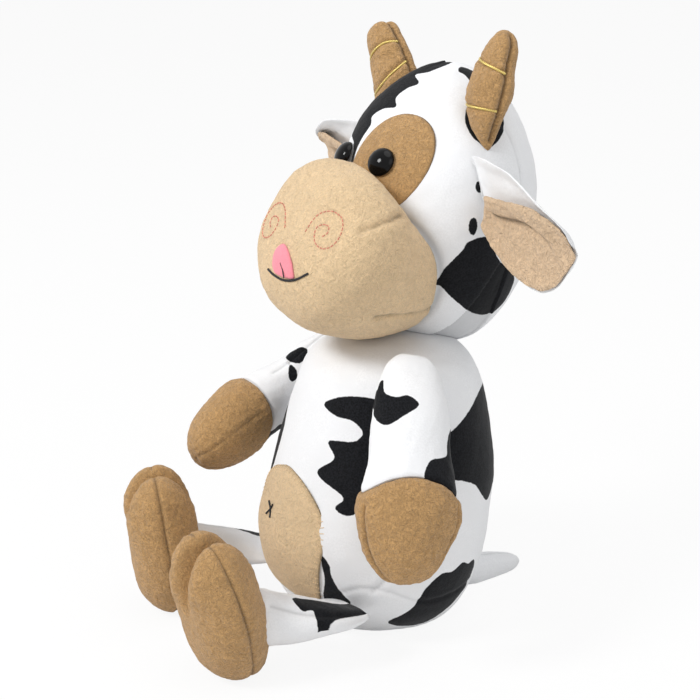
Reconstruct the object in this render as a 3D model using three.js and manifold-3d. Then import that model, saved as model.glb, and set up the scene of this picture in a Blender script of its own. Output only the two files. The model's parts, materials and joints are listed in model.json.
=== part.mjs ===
// A seated plush cow: sewn skins of short pile fabric over loose fibre filling.
// Millimetres, +Z up. The cow faces -Y and its own left side is +X.
// The origin is the middle of the flat seat under the torso.

import * as THREE from 'three';
import { mergeVertices } from 'three/addons/utils/BufferGeometryUtils.js';
import Module from 'manifold-3d';

const wasm = await Module();
wasm.setup();

const sides = [['left', 1], ['right', -1]];

// Cloth, thread and fit
const skin = 1.2;
const felt = 1;
const thread = 0.9;
const threadSides = 5;
const clearance = 0.3;
const flatDepth = 0.5;
const overrun = 60;
const weldDistance = 0.001;

// Torso
const torsoHeight = 155;
const torsoRadius = 60.5;
const torsoLean = 7;
const neckHoleRadius = 20;
const neckCutHeight = 45;
const torsoShares = [
  [0, 0], [0.0005, 0.24], [0.003, 0.5], [0.022, 0.635], [0.052, 0.735], [0.103, 0.84],
  [0.168, 0.915], [0.245, 0.972], [0.34, 1], [0.48, 0.985], [0.62, 0.925], [0.75, 0.85],
  [0.85, 0.775], [0.91, 0.7], [0.955, 0.57], [0.985, 0.385], [1, 0],
];
const leanShares = [[0, 0], [0.3, -0.2], [0.55, 0.6], [0.78, 1], [0.9, 1], [1, 1]];

// Belly patch, sewn on the torso
const bellyHalfWidth = 33;
const bellyTop = 91;
const bellyBottom = 23;
const bellyShares = [
  [0, 1], [0.26, 0.94], [0.52, 0.82], [0.78, 0.62], [0.96, 0.34], [1, 0.12], [0.97, -0.1],
  [0.84, -0.5], [0.7, -1],
];
const navelHeight = 66;
const navelAcross = -7;
const navelSize = 7;

// Head, turned a little to the cow's left on the neck
const headTurn = 14;
const headTilt = -4.5;
const craniumRadius = 53.5;
const craniumHalfHeight = 73.5;
const craniumRise = 58.5;
const craniumShares = [
  [0, 0], [0.012, 0.17], [0.06, 0.44], [0.14, 0.67], [0.25, 0.84], [0.38, 0.95], [0.5, 1],
  [0.62, 0.965], [0.75, 0.84], [0.86, 0.65], [0.94, 0.43], [0.985, 0.21], [1, 0],
];
const craniumBackShares = [[-1, 0.68], [0, 0.69], [0.35, 0.76], [0.7, 0.88], [1, 0.95]];

// Muzzle
const muzzleHalfWidth = 43.5;
const muzzleHalfHeight = 43;
const muzzleLength = 92;
const muzzlePitch = -22;
const muzzleSag = 7.5;
const muzzleFront = 58.5;
const muzzleRise = 65.5;
const muzzleShares = [
  [0, 0], [0.01, 0.3], [0.08, 0.56], [0.22, 0.78], [0.4, 0.92], [0.55, 0.98], [0.7, 1],
  [0.83, 0.93], [0.93, 0.75], [0.985, 0.44], [1, 0],
];

// Eyes with their shanks and washers
const eyeDiameter = 14;
const eyeHeight = 5.5;
const eyeAcross = { left: 8, right: -20.5 };
const eyeRise = 89.5;
const shankDiameter = 4;
const shankLength = 9;
const washerDiameter = 13;
const washerThickness = 1.6;

// Eye patch round the left eye
const eyePatchAcross = 12;
const eyePatchRise = 90.5;
const eyePatchHalfWidth = 21;
const eyePatchHalfHeight = 25;

// Tongue, mouth line and nostril stitching on the muzzle
const tongueHalfWidth = 5.5;
const tongueTop = 58;
const tongueBottom = 42;
const tongueAcross = -2.5;
const tongueShares = [[1, 0], [1, 0.5], [0.86, 0.78], [0.5, 0.96], [0, 1]];
const mouthHalfWidth = 15;
const mouthRise = 44.5;
const mouthSag = 4.5;
const mouthPoints = 9;
const nostrilRadius = 8.5;
const nostrilEye = 2;
const nostrilAcross = 19;
const nostrilRise = 65;
const nostrilTurns = 1.6;
const nostrilPoints = 18;

// Horns
const hornLength = 60;
const hornHalfWidth = 13;
const hornHalfDepth = 11;
const hornAcross = { left: 43.5, right: 33 };
const hornBack = { left: 31, right: 55.5 };
const hornRise = { left: 92, right: 93 };
const hornTilt = { left: 1, right: 20 };
const hornPitch = { left: 14, right: 2 };
const hornSpineShares = [[0, 0, 0], [-0.03, -0.03, 0.34], [-0.01, -0.01, 0.68], [0.04, 0.02, 1]];
const hornShares = [
  [0, 0], [0.01, 0.5], [0.05, 0.84], [0.15, 1.05], [0.35, 1.06], [0.55, 0.94], [0.75, 0.76],
  [0.9, 0.56], [0.97, 0.34], [1, 0],
];
const hornBands = {
  lower: { share: 0.37, arc: 240, middle: 0 },
  upper: { share: 0.68, arc: 340, middle: -90 },
};
const hornBandSteps = 12;

// Ears
const earLength = 59;
const earHalfWidth = 23;
const earCup = 6;
const earRootRadius = 7;
const earRootThickness = 5;
const earSink = 3;
const earForward = { left: 18, right: 47 };
const earRise = { left: 65, right: 74 };
const earTilt = { left: 16, right: -3 };
const earTurn = { left: 0, right: 20 };
const earTwist = { left: 6, right: 24 };
const earShares = [
  [0, 1.18, 0.3], [0.12, 1.33, 0.52], [0.28, 1.29, 0.78], [0.45, 1.15, 0.97], [0.6, 0.97, 1.06],
  [0.75, 0.8, 1.06], [0.88, 0.63, 0.84], [0.96, 0.42, 0.46], [1, 0.2, 0.17],
];
const earLiningShares = [0.36, 0.38, 0.47, 0.62, 0.77, 0.85, 0.86, 0.86, 0.86];
const earLiningShare = 0.93;
const earSteps = 9;
const earStrips = 6;

// Arms
const shoulderRiseShares = { left: 0.839, right: 0.8 };
const shoulderBearing = 20;
const shoulderTilt = 21;
const shoulderSeatRadius = 11;
const shoulderSink = 2.2;
const shoulderTop = 26;
const armLength = { left: 113, right: 107 };
const armHalfWidth = 25;
const armHalfDepth = 17.5;
const armPitch = { left: -7, right: -50 };
const armSpineShares = {
  left: [[0.52, 0, 0], [0.66, 0, 0.3], [1.03, 0, 0.62], [0.95, 0, 1]],
  right: [[0.52, 0, 0], [0.66, 0.75, 0.3], [1.03, 0.48, 0.62], [0.95, 0, 1]],
};
const armShares = {
  left: [
    [0, 0, 0], [0.01, 0.3, 0.3], [0.06, 0.52, 0.58], [0.16, 0.68, 0.78], [0.3, 0.78, 0.8],
    [0.45, 0.83, 0.8], [0.58, 0.92, 0.9], [0.72, 1, 1], [0.85, 0.88, 0.9], [0.94, 0.62, 0.66],
    [0.99, 0.3, 0.33], [1, 0, 0],
  ],
  right: [
    [0, 0, 0], [0.01, 0.34, 0.3], [0.06, 0.6, 0.58], [0.16, 0.88, 0.78], [0.3, 1, 0.8],
    [0.45, 0.95, 0.8], [0.58, 0.84, 0.9], [0.72, 0.86, 1], [0.85, 0.78, 0.9], [0.94, 0.56, 0.66],
    [0.99, 0.28, 0.33], [1, 0, 0],
  ],
};
const mittRadius = 27.5;
const mittDrop = 58.5;

// Legs and feet
const hipRise = 25;
const hipBearing = 45;
const hipTurn = 36;
const hipRootRadius = 4;
const hipSink = 2;
const legLength = 58;
const legHalfWidth = 16;
const legHalfHeight = 15;
const legSpineShares = {
  left: [[0, 0, 0], [-0.08, -0.25, 0.02], [-0.34, -0.52, 0.06], [-0.66, -0.72, 0.12]],
  right: [[0, 0, 0], [-0.05, -0.25, 0.02], [-0.19, -0.56, 0.06], [-0.36, -0.88, 0.12]],
};
const legShares = [
  [0, 0, 0], [0.01, 0.6, 0.14], [0.03, 0.9, 0.22], [0.07, 1, 0.265], [0.2, 0.98, 0.42],
  [0.45, 0.9, 0.68], [0.7, 0.86, 0.88], [0.9, 0.84, 0.98], [0.97, 0.6, 0.7], [1, 0, 0],
];
const footHeight = 80;
const footHalfWidth = 25.5;
const footHalfDepth = 19;
const footReach = { left: 41.5, right: 51 };
const footInset = { left: 42, right: 24 };
const footTurn = { left: 32, right: 18 };
const footTilt = { left: 14, right: 7 };
const footMiddleShare = 0.4;
const footOutlineShares = [
  [0, 0], [0.3, 0.015], [0.62, 0.08], [0.88, 0.22], [1, 0.42], [0.97, 0.6], [0.88, 0.78],
  [0.7, 0.93], [0.42, 1], [0, 1],
];
const notchWidth = 9;
const notchDepth = 17;
const footPuffShares = [[1, 0], [0.95, 0.34], [0.8, 0.66], [0.5, 0.92], [0, 1]];
const footPoints = 22;

// Tail
const tailLength = 49;
const tailHalfWidth = 9.4;
const tailRise = 6;
const tailRootRadius = 5.5;
const tailSink = 2.5;
const tailShares = [
  [0, 0], [0.02, 0.45], [0.1, 0.8], [0.3, 1], [0.55, 0.9], [0.8, 0.66], [0.95, 0.36], [1, 0],
];

// Colours
const white = material(0xf1f0ee, 0.95);
const tan = material(0xc2985f, 0.97);
const paleTan = material(0xdab88a, 0.97);
const lining = material(0xeccfae, 0.95);
const filling = material(0xf8f6f1, 1);
const pink = material(0xee8ea4, 0.9);
const darkThread = material(0x1a1a1c, 0.7);
const noseThread = material(0xd99c80, 0.7);
const goldThread = material(0xb79d3a, 0.4);
const eyeBlack = material(0x08080a, 0.08);
const washerWhite = material(0xe9e9e4, 0.5);

function material(color, roughness) {
  return new THREE.MeshStandardMaterial({ color, roughness, metalness: 0 });
}

function point(x, y, z) {
  return new THREE.Vector3(x, y, z);
}

function radians(degrees) {
  return THREE.MathUtils.degToRad(degrees);
}

// Turns a closed three.js geometry into a solid for cutting and joining.
function solidOf(geometry) {
  const bare = geometry.clone();
  bare.deleteAttribute('normal');
  bare.deleteAttribute('uv');
  const merged = mergeVertices(bare, weldDistance);
  const corners = merged.index.array;
  const kept = [];
  for (let i = 0; i < corners.length; i += 3) {
    const [a, b, c] = [corners[i], corners[i + 1], corners[i + 2]];
    if (a !== b && b !== c && c !== a) {
      kept.push(a, b, c);
    }
  }
  const vertProperties = new Float32Array(merged.attributes.position.array);
  const triVerts = new Uint32Array(kept);
  return new wasm.Manifold(new wasm.Mesh({ numProp: 3, vertProperties, triVerts }));
}

function part(name, solid, finish) {
  const { vertProperties, triVerts } = solid.getMesh();
  const geometry = new THREE.BufferGeometry();
  geometry.setAttribute('position', new THREE.BufferAttribute(vertProperties, 3));
  geometry.setIndex(new THREE.BufferAttribute(triVerts, 1));
  geometry.computeVertexNormals();
  const mesh = new THREE.Mesh(geometry, finish);
  mesh.name = name;
  return mesh;
}

function placed(solid, holder) {
  holder.updateMatrix();
  return solid.transform(holder.matrix.elements);
}

// Stations along a stuffed form: where each ring sits and how wide and deep it is.
function stationsOf(form, rings) {
  const length = form.spine.getLength();
  const profile = new THREE.CatmullRomCurve3(form.shares.map(([along, width, depth = width]) => (
    point(along * length, width * form.halfWidth, depth * form.halfDepth))));
  return profile.getSpacedPoints(rings + 1).map((station) => {
    const along = THREE.MathUtils.clamp(station.x / length, 0, 1);
    const forward = form.ringAxis ?? form.spine.getTangentAt(along);
    const across = form.side.clone().addScaledVector(forward, -form.side.dot(forward)).normalize();
    const up = new THREE.Vector3().crossVectors(forward, across);
    return { centre: form.spine.getPointAt(along), across, up, width: station.y, depth: station.z };
  });
}

// A closed skin of elliptical rings that swells and tapers along its spine.
function formGeometry(form, [rings, facets]) {
  const stations = stationsOf(form, rings);
  const points = [];
  stations.forEach(({ centre, across, up, width, depth }, ring) => {
    if (ring === 0 || ring === rings + 1) {
      points.push(centre);
      return;
    }
    for (let i = 0; i < facets; i += 1) {
      const angle = (2 * Math.PI * i) / facets;
      points.push(centre.clone()
        .addScaledVector(across, width * Math.cos(angle))
        .addScaledVector(up, depth * Math.sin(angle)));
    }
  });
  const last = points.length - 1;
  const corner = (ring, i) => 1 + (ring - 1) * facets + (i % facets);
  const faces = [];
  for (let i = 0; i < facets; i += 1) {
    faces.push(0, corner(1, i + 1), corner(1, i));
    for (let ring = 1; ring < rings; ring += 1) {
      faces.push(corner(ring, i), corner(ring, i + 1), corner(ring + 1, i + 1));
      faces.push(corner(ring, i), corner(ring + 1, i + 1), corner(ring + 1, i));
    }
    faces.push(last, corner(rings, i), corner(rings, i + 1));
  }
  const geometry = new THREE.BufferGeometry().setFromPoints(points);
  geometry.setIndex(faces);
  return geometry;
}

// Moves each point of a closed skin along its normal: out is positive, in is negative.
function offset(geometry, distance) {
  const moved = geometry.clone();
  moved.computeVertexNormals();
  const { position, normal } = moved.attributes;
  for (let i = 0; i < position.count; i += 1) {
    position.setXYZ(
      i,
      position.getX(i) + normal.getX(i) * distance,
      position.getY(i) + normal.getY(i) * distance,
      position.getZ(i) + normal.getZ(i) * distance,
    );
  }
  return moved;
}

// The outer shape, the hollow and the filling of one stuffed form.
function sewn(form) {
  const fine = formGeometry(form, form.fine);
  const coarse = formGeometry(form, form.coarse);
  const hollow = solidOf(offset(coarse, -skin));
  return {
    outer: solidOf(fine),
    around: solidOf(offset(fine, clearance)),
    hollow,
    fill: solidOf(offset(coarse, -skin - clearance)).intersect(hollow),
    fine,
  };
}

// Where a straight line from outside first meets a skin, and which way the skin faces there.
function seatOn(geometry, from, towards) {
  const target = new THREE.Mesh(geometry, new THREE.MeshBasicMaterial());
  const [hit] = new THREE.Raycaster(from, towards).intersectObject(target);
  return { place: hit.point, facing: hit.face.normal.clone() };
}

// A round bar along Z, centred on the origin.
function bar(radius, length, facets = 16) {
  return solidOf(new THREE.CylinderGeometry(radius, radius, length, facets).rotateX(Math.PI / 2));
}

function block(width, depth, height) {
  return solidOf(new THREE.BoxGeometry(width, depth, height));
}

// A holder that points its own +Z along a direction.
function aimed(place, direction) {
  const holder = new THREE.Object3D();
  holder.position.copy(place);
  holder.quaternion.setFromUnitVectors(point(0, 0, 1), direction.clone().normalize());
  return holder;
}

function line(...points) {
  return new THREE.CatmullRomCurve3(points);
}

// A thread of a few sides along a path.
function threadAlong(points, steps) {
  const section = new THREE.Shape();
  for (let i = 0; i < threadSides; i += 1) {
    const angle = (2 * Math.PI * i) / threadSides;
    const corner = [(thread / 2) * Math.cos(angle), (thread / 2) * Math.sin(angle)];
    if (i === 0) {
      section.moveTo(...corner);
    } else {
      section.lineTo(...corner);
    }
  }
  const extrudePath = new THREE.CatmullRomCurve3(points);
  return solidOf(new THREE.ExtrudeGeometry(section, {
    steps, bevelEnabled: false, extrudePath,
  }));
}

// Points over a skin, met from the front at places given across and up.
function overSkin(geometry, places) {
  const lift = clearance + thread / 2;
  return places.map(([across, rise]) => {
    const { place, facing } = seatOn(geometry, point(across, -overrun * 2, rise), point(0, 1, 0));
    return place.addScaledVector(facing, lift);
  });
}

function mirrored(solid, sign) {
  return sign > 0 ? solid : solid.mirror([1, 0, 0]);
}

// Torso

const torsoForm = {
  spine: line(...leanShares.map(([height, lean]) => (
    point(0, lean * torsoLean, height * (torsoHeight + flatDepth) - flatDepth)))),
  side: point(1, 0, 0),
  ringAxis: point(0, 0, 1),
  halfWidth: torsoRadius,
  halfDepth: torsoRadius,
  shares: torsoShares,
  fine: [17, 28],
  coarse: [10, 16],
};

const torso = sewn(torsoForm);

// The shape that the turning head is cut by: the torso's dome spun round the neck.
function neckCutter(extra) {
  const facets = torsoForm.fine[1];
  const round = 1 / Math.cos(Math.PI / facets);
  const dome = stationsOf(torsoForm, torsoForm.fine[0])
    .map(({ centre, width }) => [width, centre.z - torsoHeight])
    .filter(([, height]) => height > -neckCutHeight);
  const rings = dome.map(([radius, height]) => (
    new THREE.Vector2(radius > weldDistance ? (radius + extra) * round : 0, height + extra)));
  const [widest] = rings;
  const outline = [new THREE.Vector2(0, widest.y), ...rings];
  const upright = new THREE.LatheGeometry(outline, facets).rotateX(Math.PI / 2);
  return solidOf(upright.rotateY(-radians(headTilt)));
}

const belowFloor = block(overrun * 6, overrun * 6, overrun)
  .translate([0, 0, -overrun / 2]);

function shoulderHolder(side, sign) {
  const bearing = radians(shoulderBearing);
  const shoulderRise = torsoHeight * shoulderRiseShares[side];
  const from = point(sign * Math.cos(bearing) * overrun * 2, torsoLean - Math.sin(bearing) * overrun * 2,
    shoulderRise);
  const towards = point(0, torsoLean, shoulderRise).sub(from).normalize();
  const { place } = seatOn(torso.fine, from, towards);
  const holder = new THREE.Group();
  holder.position.copy(place);
  holder.rotation.set(0, -sign * radians(shoulderTilt), -sign * bearing, 'ZYX');
  return holder;
}

function hipHolder(sign) {
  const bearing = radians(hipBearing);
  const from = point(sign * Math.sin(bearing), -Math.cos(bearing), 0).multiplyScalar(overrun * 2);
  from.z = hipRise;
  const towards = point(0, 0, hipRise).sub(from).normalize();
  const { place } = seatOn(torso.fine, from, towards);
  const holder = new THREE.Group();
  holder.position.copy(place).addScaledVector(towards, hipSink - hipRootRadius);
  holder.rotation.z = sign * radians(hipTurn);
  return holder;
}

function tailHolder() {
  const { place } = seatOn(torso.fine, point(0, overrun * 2, tailRise), point(0, -1, 0));
  const holder = new THREE.Group();
  holder.position.copy(place).add(point(0, tailRootRadius - tailSink, 0));
  return holder;
}

// The sewn root of a leg, a bar along X that the leg turns about.
function legRoot(extra) {
  return bar(hipRootRadius + extra, 2 * legHalfWidth + 2 * extra).rotate([0, 90, 0]);
}

// Round seats in the torso that the limbs and the tail turn in.
function torsoSockets() {
  const sockets = [];
  for (const [side, sign] of sides) {
    const depth = 2 * shoulderSink;
    sockets.push(placed(bar(shoulderSeatRadius + clearance, depth).rotate([0, 90, 0]), shoulderHolder(side, sign)));
    sockets.push(placed(legRoot(clearance), hipHolder(sign)));
  }
  const ball = solidOf(new THREE.SphereGeometry(tailRootRadius + clearance, 12, 8));
  sockets.push(placed(ball, tailHolder()));
  return sockets;
}

function torsoParts() {
  const neckHole = bar(neckHoleRadius, overrun).translate([0, torsoLean, torsoHeight]);
  let shell = torso.outer.subtract(torso.hollow).subtract(neckHole).subtract(belowFloor);
  let fill = torso.fill.subtract(belowFloor.translate([0, 0, skin + clearance]));
  for (const socket of torsoSockets()) {
    shell = shell.subtract(socket);
    fill = fill.subtract(socket);
  }
  return [part('torso_shell', shell, white), part('torso_stuffing', fill, filling)];
}

function bellyOutline() {
  const middle = (bellyTop + bellyBottom) / 2;
  const half = (bellyTop - bellyBottom) / 2;
  const right = bellyShares.map(([across, rise]) => (
    new THREE.Vector2(across * bellyHalfWidth, middle + rise * half)));
  const left = right.slice(1).map(({ x, y }) => new THREE.Vector2(-x, y)).reverse();
  return new THREE.Shape([...right, ...left]);
}

// A thin panel that lies on a skin, cut to an outline seen from the front.
function panelOn(geometry, cutter) {
  const over = solidOf(offset(geometry, clearance + felt));
  const under = solidOf(offset(geometry, clearance));
  return over.intersect(cutter).subtract(under);
}

function bellyPatch() {
  const options = { depth: overrun * 2, bevelEnabled: false };
  const outline = new THREE.ExtrudeGeometry(bellyOutline(), options).rotateX(Math.PI / 2);
  const panel = panelOn(torso.fine, solidOf(outline))
    .subtract(placed(legRoot(clearance), hipHolder(1)))
    .subtract(placed(legRoot(clearance), hipHolder(-1)));
  return part('belly_patch', panel, paleTan);
}

// Head

const craniumForm = {
  spine: line(...craniumBackShares.map(([rise, back]) => (
    point(0, back * craniumRadius, craniumRise + rise * craniumHalfHeight)))),
  side: point(1, 0, 0),
  ringAxis: point(0, 0, 1),
  halfWidth: craniumRadius,
  halfDepth: craniumRadius,
  shares: craniumShares,
  fine: [15, 26],
  coarse: [10, 16],
};

function muzzleSpine() {
  const tip = point(0, -muzzleFront, muzzleRise);
  const pitch = radians(muzzlePitch);
  const back = point(0, Math.cos(pitch), Math.sin(pitch));
  return line(
    tip.clone().addScaledVector(back, muzzleLength).sub(point(0, 0, muzzleSag)),
    tip.clone().addScaledVector(back, muzzleLength / 2).sub(point(0, 0, muzzleSag)),
    tip,
  );
}

const muzzleForm = {
  spine: muzzleSpine(),
  side: point(1, 0, 0),
  halfWidth: muzzleHalfWidth,
  halfDepth: muzzleHalfHeight,
  shares: muzzleShares,
  fine: [12, 24],
  coarse: [8, 14],
};

const cranium = sewn(craniumForm);
const muzzle = sewn(muzzleForm);

function eyeHolder(side) {
  const from = point(eyeAcross[side], -overrun * 2, eyeRise);
  const { place, facing } = seatOn(cranium.fine, from, point(0, 1, 0));
  return aimed(place, facing);
}

function headParts() {
  const gap = neckCutter(clearance);
  const fillGap = neckCutter(2 * clearance);
  let shell = cranium.outer.subtract(cranium.hollow).subtract(muzzle.hollow).subtract(gap);
  let fill = cranium.fill.add(muzzle.fill).subtract(fillGap);
  let cup = muzzle.outer.subtract(muzzle.hollow).subtract(cranium.around).subtract(gap);
  for (const [side, sign] of sides) {
    const earRoom = placed(earRoot(clearance), earHolder(side, sign));
    const shankHole = placed(bar(shankDiameter / 2 + clearance, 2 * skin), eyeHolder(side));
    const eyeRoom = placed(eyeBehind(), eyeHolder(side));
    shell = shell.subtract(earRoom).subtract(shankHole).subtract(eyeRoom);
    const domeRoom = placed(bar(eyeDiameter / 2 + clearance, 2 * eyeHeight), eyeHolder(side));
    fill = fill.subtract(earRoom).subtract(eyeRoom).subtract(domeRoom);
    cup = cup.subtract(domeRoom);
  }
  return [
    part('head_shell', shell, white),
    part('head_stuffing', fill, filling),
    part('muzzle', cup, paleTan),
  ];
}

// The room that a washer and the end of a shank need in the filling.
function eyeBehind() {
  const depth = shankLength + clearance;
  const washerRoom = bar(washerDiameter / 2 + clearance, washerThickness + 2 * clearance)
    .translate([0, 0, -skin - clearance - washerThickness / 2]);
  return bar(shankDiameter / 2 + clearance, depth).translate([0, 0, -depth / 2]).add(washerRoom);
}

function eyeParts(side, sign) {
  const raised = sign > 0 ? 2 * clearance + felt : clearance;
  const radius = eyeDiameter / 2;
  const dome = [new THREE.Vector2(0, 0)];
  const steps = 5;
  for (let i = 0; i <= steps; i += 1) {
    const angle = (i / steps) * (Math.PI / 2);
    dome.push(new THREE.Vector2(Math.cos(angle) * radius, Math.sin(angle) * eyeHeight));
  }
  dome[dome.length - 1].x = 0;
  const cap = solidOf(new THREE.LatheGeometry(dome, 16).rotateX(Math.PI / 2));
  const shank = bar(shankDiameter / 2, shankLength, 12).translate([0, 0, -shankLength / 2 + felt]);
  const eye = part(`eye_${side}`, cap.add(shank).translate([0, 0, raised]), eyeBlack);
  const bore = bar(shankDiameter / 2 + clearance, overrun);
  const ring = bar(washerDiameter / 2, washerThickness).subtract(bore)
    .translate([0, 0, -skin - clearance - washerThickness / 2]);
  const washer = part(`eye_washer_${side}`, ring, washerWhite);
  const holder = eyeHolder(side);
  holder.add(eye, washer);
  return holder;
}

function eyePatch() {
  const from = point(eyePatchAcross, -overrun * 2, eyePatchRise);
  const { place, facing } = seatOn(cranium.fine, from, point(0, 1, 0));
  const outline = new THREE.Shape();
  outline.absellipse(0, 0, eyePatchHalfWidth, eyePatchHalfHeight, 0, 2 * Math.PI);
  const options = { depth: overrun, bevelEnabled: false, curveSegments: 14 };
  const cutter = new THREE.ExtrudeGeometry(outline, options).translate(0, 0, -overrun / 2);
  const holder = new THREE.Object3D();
  holder.up.set(0, 0, 1);
  holder.position.copy(place);
  holder.lookAt(place.clone().add(facing));
  const shank = placed(bar(shankDiameter / 2 + clearance, overrun), eyeHolder('left'));
  const panel = panelOn(cranium.fine, placed(solidOf(cutter), holder))
    .subtract(shank)
    .subtract(muzzle.around);
  return part('eye_patch', panel, tan);
}

const hornForm = {
  spine: line(...hornSpineShares.map(([across, back, up]) => (
    point(across, back, up).multiplyScalar(hornLength)))),
  side: point(1, 0, 0),
  halfWidth: hornHalfWidth,
  halfDepth: hornHalfDepth,
  shares: hornShares,
  fine: [8, 12],
};

const horn = formGeometry(hornForm, hornForm.fine);

function hornHolder(side, sign) {
  const holder = new THREE.Object3D();
  holder.position.set(sign * hornAcross[side], hornBack[side], hornRise[side]);
  holder.rotation.set(-radians(hornPitch[side]), sign * radians(hornTilt[side]), 0, 'ZYX');
  return holder;
}

// A thread round the horn that leaves a gap opposite its middle.
function hornBand({ share, arc, middle }) {
  const centre = hornForm.spine.getPointAt(share);
  const lift = clearance + thread / 2;
  const points = [];
  for (let i = 0; i <= hornBandSteps; i += 1) {
    const angle = radians(middle + (i / hornBandSteps - 0.5) * arc);
    const outwards = point(Math.cos(angle), Math.sin(angle), 0);
    const from = centre.clone().addScaledVector(outwards, overrun);
    const { place } = seatOn(horn, from, outwards.clone().negate());
    points.push(place.addScaledVector(outwards, lift));
  }
  return threadAlong(points, 2 * hornBandSteps);
}

function hornParts(side, sign) {
  const holder = hornHolder(side, sign);
  const onHead = (solid) => placed(mirrored(solid, sign), holder).subtract(cranium.around);
  const parts = [part(`horn_${side}`, onHead(solidOf(horn)), tan)];
  for (const [height, band] of Object.entries(hornBands)) {
    parts.push(part(`horn_band_${height}_${side}`, onHead(hornBand(band)), goldThread));
  }
  return parts;
}

// Ears: a cupped leaf of two layers, hung on a round root.

function earHolder(side, sign) {
  const from = point(sign * overrun * 2, earForward[side], earRise[side]);
  const { place } = seatOn(cranium.fine, from, point(-sign, 0, 0));
  const holder = new THREE.Group();
  holder.position.copy(place).add(point(sign * (earRootRadius - earSink), 0, 0));
  const droop = sign * radians(earTilt[side]);
  const sweep = sign * radians(earTurn[side]);
  holder.rotation.set(radians(earTwist[side]), droop, sweep, 'ZYX');
  return holder;
}

function earRoot(extra) {
  return bar(earRootRadius + extra, earRootThickness + 2 * extra).rotate([90, 0, 0]);
}

// A cupped leaf along +X that opens to the front, between two depths from its middle surface.
function leaf(topShares, bottomShare, front, back) {
  const edges = new THREE.CatmullRomCurve3(earShares.map((row) => point(...row)));
  const tops = new THREE.CatmullRomCurve3(topShares.map((share) => point(share, 0, 0)));
  const points = [];
  for (const depth of [front, back]) {
    for (let i = 0; i <= earSteps; i += 1) {
      const { x: along, y: top, z: bottom } = edges.getPoint(i / earSteps);
      const topShare = tops.getPoint(i / earSteps).x;
      const hollow = earCup * Math.sin(Math.PI * (0.15 + 0.7 * along));
      for (let j = 0; j <= earStrips; j += 1) {
        const side = (2 * j) / earStrips - 1;
        const v = side * (side > 0 ? topShare : bottomShare);
        const width = side > 0 ? top : bottom;
        points.push(point(along * earLength, depth - hollow * v * v, v * width * earHalfWidth));
      }
    }
  }
  const row = earStrips + 1;
  const sheet = row * (earSteps + 1);
  const faces = [];
  const quad = (a, b, c, d) => faces.push(a, b, c, a, c, d);
  for (let i = 0; i < earSteps; i += 1) {
    for (let j = 0; j < earStrips; j += 1) {
      const a = i * row + j;
      quad(a, a + row, a + row + 1, a + 1);
      quad(sheet + a, sheet + a + 1, sheet + a + row + 1, sheet + a + row);
    }
    const low = i * row;
    const high = low + earStrips;
    quad(low + row, low, sheet + low, sheet + low + row);
    quad(high, high + row, sheet + high + row, sheet + high);
  }
  for (let j = 0; j < earStrips; j += 1) {
    const end = earSteps * row + j;
    quad(j, j + 1, sheet + j + 1, sheet + j);
    quad(end + 1, end, sheet + end, sheet + end + 1);
  }
  const geometry = new THREE.BufferGeometry().setFromPoints(points);
  geometry.setIndex(faces);
  return solidOf(geometry);
}

function earParts(side, sign) {
  const outer = leaf(earLiningShares.map(() => 1), 1, clearance, clearance + skin).add(earRoot(0));
  const inner = leaf(earLiningShares, earLiningShare, -clearance / 2 - skin, -clearance / 2)
    .subtract(earRoot(clearance));
  const holder = earHolder(side, sign);
  holder.add(
    part(`ear_${side}`, mirrored(outer, sign), white),
    part(`ear_lining_${side}`, mirrored(inner, sign), lining),
  );
  return holder;
}

// Stitching and tongue on the muzzle

function mouthStitch() {
  const places = [];
  for (let i = 0; i < mouthPoints; i += 1) {
    const share = (2 * i) / (mouthPoints - 1) - 1;
    places.push([tongueAcross + share * mouthHalfWidth, mouthRise - mouthSag * (1 - share * share)]);
  }
  return part('mouth_stitch', threadAlong(overSkin(muzzle.fine, places), 3 * mouthPoints), darkThread);
}

function nostrilStitch(side, sign) {
  const places = [];
  for (let i = 0; i < nostrilPoints; i += 1) {
    const share = i / (nostrilPoints - 1);
    const angle = share * nostrilTurns * 2 * Math.PI;
    const radius = nostrilEye + share * (nostrilRadius - nostrilEye);
    places.push([
      sign * (nostrilAcross + radius * Math.cos(angle)),
      nostrilRise + radius * Math.sin(angle),
    ]);
  }
  const stitch = threadAlong(overSkin(muzzle.fine, places), 2 * nostrilPoints);
  return part(`nostril_stitch_${side}`, stitch, noseThread);
}

function tonguePanel() {
  const length = tongueTop - tongueBottom;
  const right = tongueShares.map(([across, up]) => (
    new THREE.Vector2(tongueAcross + across * tongueHalfWidth, tongueBottom + up * length)));
  const left = tongueShares.slice(0, -1).map(([across, up]) => (
    new THREE.Vector2(tongueAcross - across * tongueHalfWidth, tongueBottom + up * length))).reverse();
  const options = { depth: overrun * 2, bevelEnabled: false };
  const outline = new THREE.ExtrudeGeometry(new THREE.Shape([...right, ...left]), options);
  return part('tongue', panelOn(muzzle.fine, solidOf(outline.rotateX(Math.PI / 2))), pink);
}

function navelStitch() {
  const half = navelSize / 2;
  const lift = clearance + felt;
  const strokes = [-1, 1].map((slope) => {
    const places = [-1, 0, 1].map((end) => [navelAcross + end * half * 0.8, navelHeight + slope * end * half]);
    return threadAlong(overSkin(torso.fine, places).map((spot) => spot.add(point(0, -lift, 0))), 6);
  });
  return part('navel_stitch', strokes[0].add(strokes[1]), darkThread);
}

// Arms

function armForm(side) {
  return {
    spine: line(...armSpineShares[side].map(([out, back, down]) => (
      point(out * armHalfDepth, back * armHalfWidth, shoulderTop - down * armLength[side])))),
    side: point(0, 1, 0),
    halfWidth: armHalfWidth,
    halfDepth: armHalfDepth,
    shares: armShares[side],
    fine: [13, 16],
    coarse: [8, 12],
  };
}

function inside(limit) {
  return block(overrun * 2, overrun * 4, overrun * 6).translate([limit - overrun, 0, 0]);
}

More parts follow.
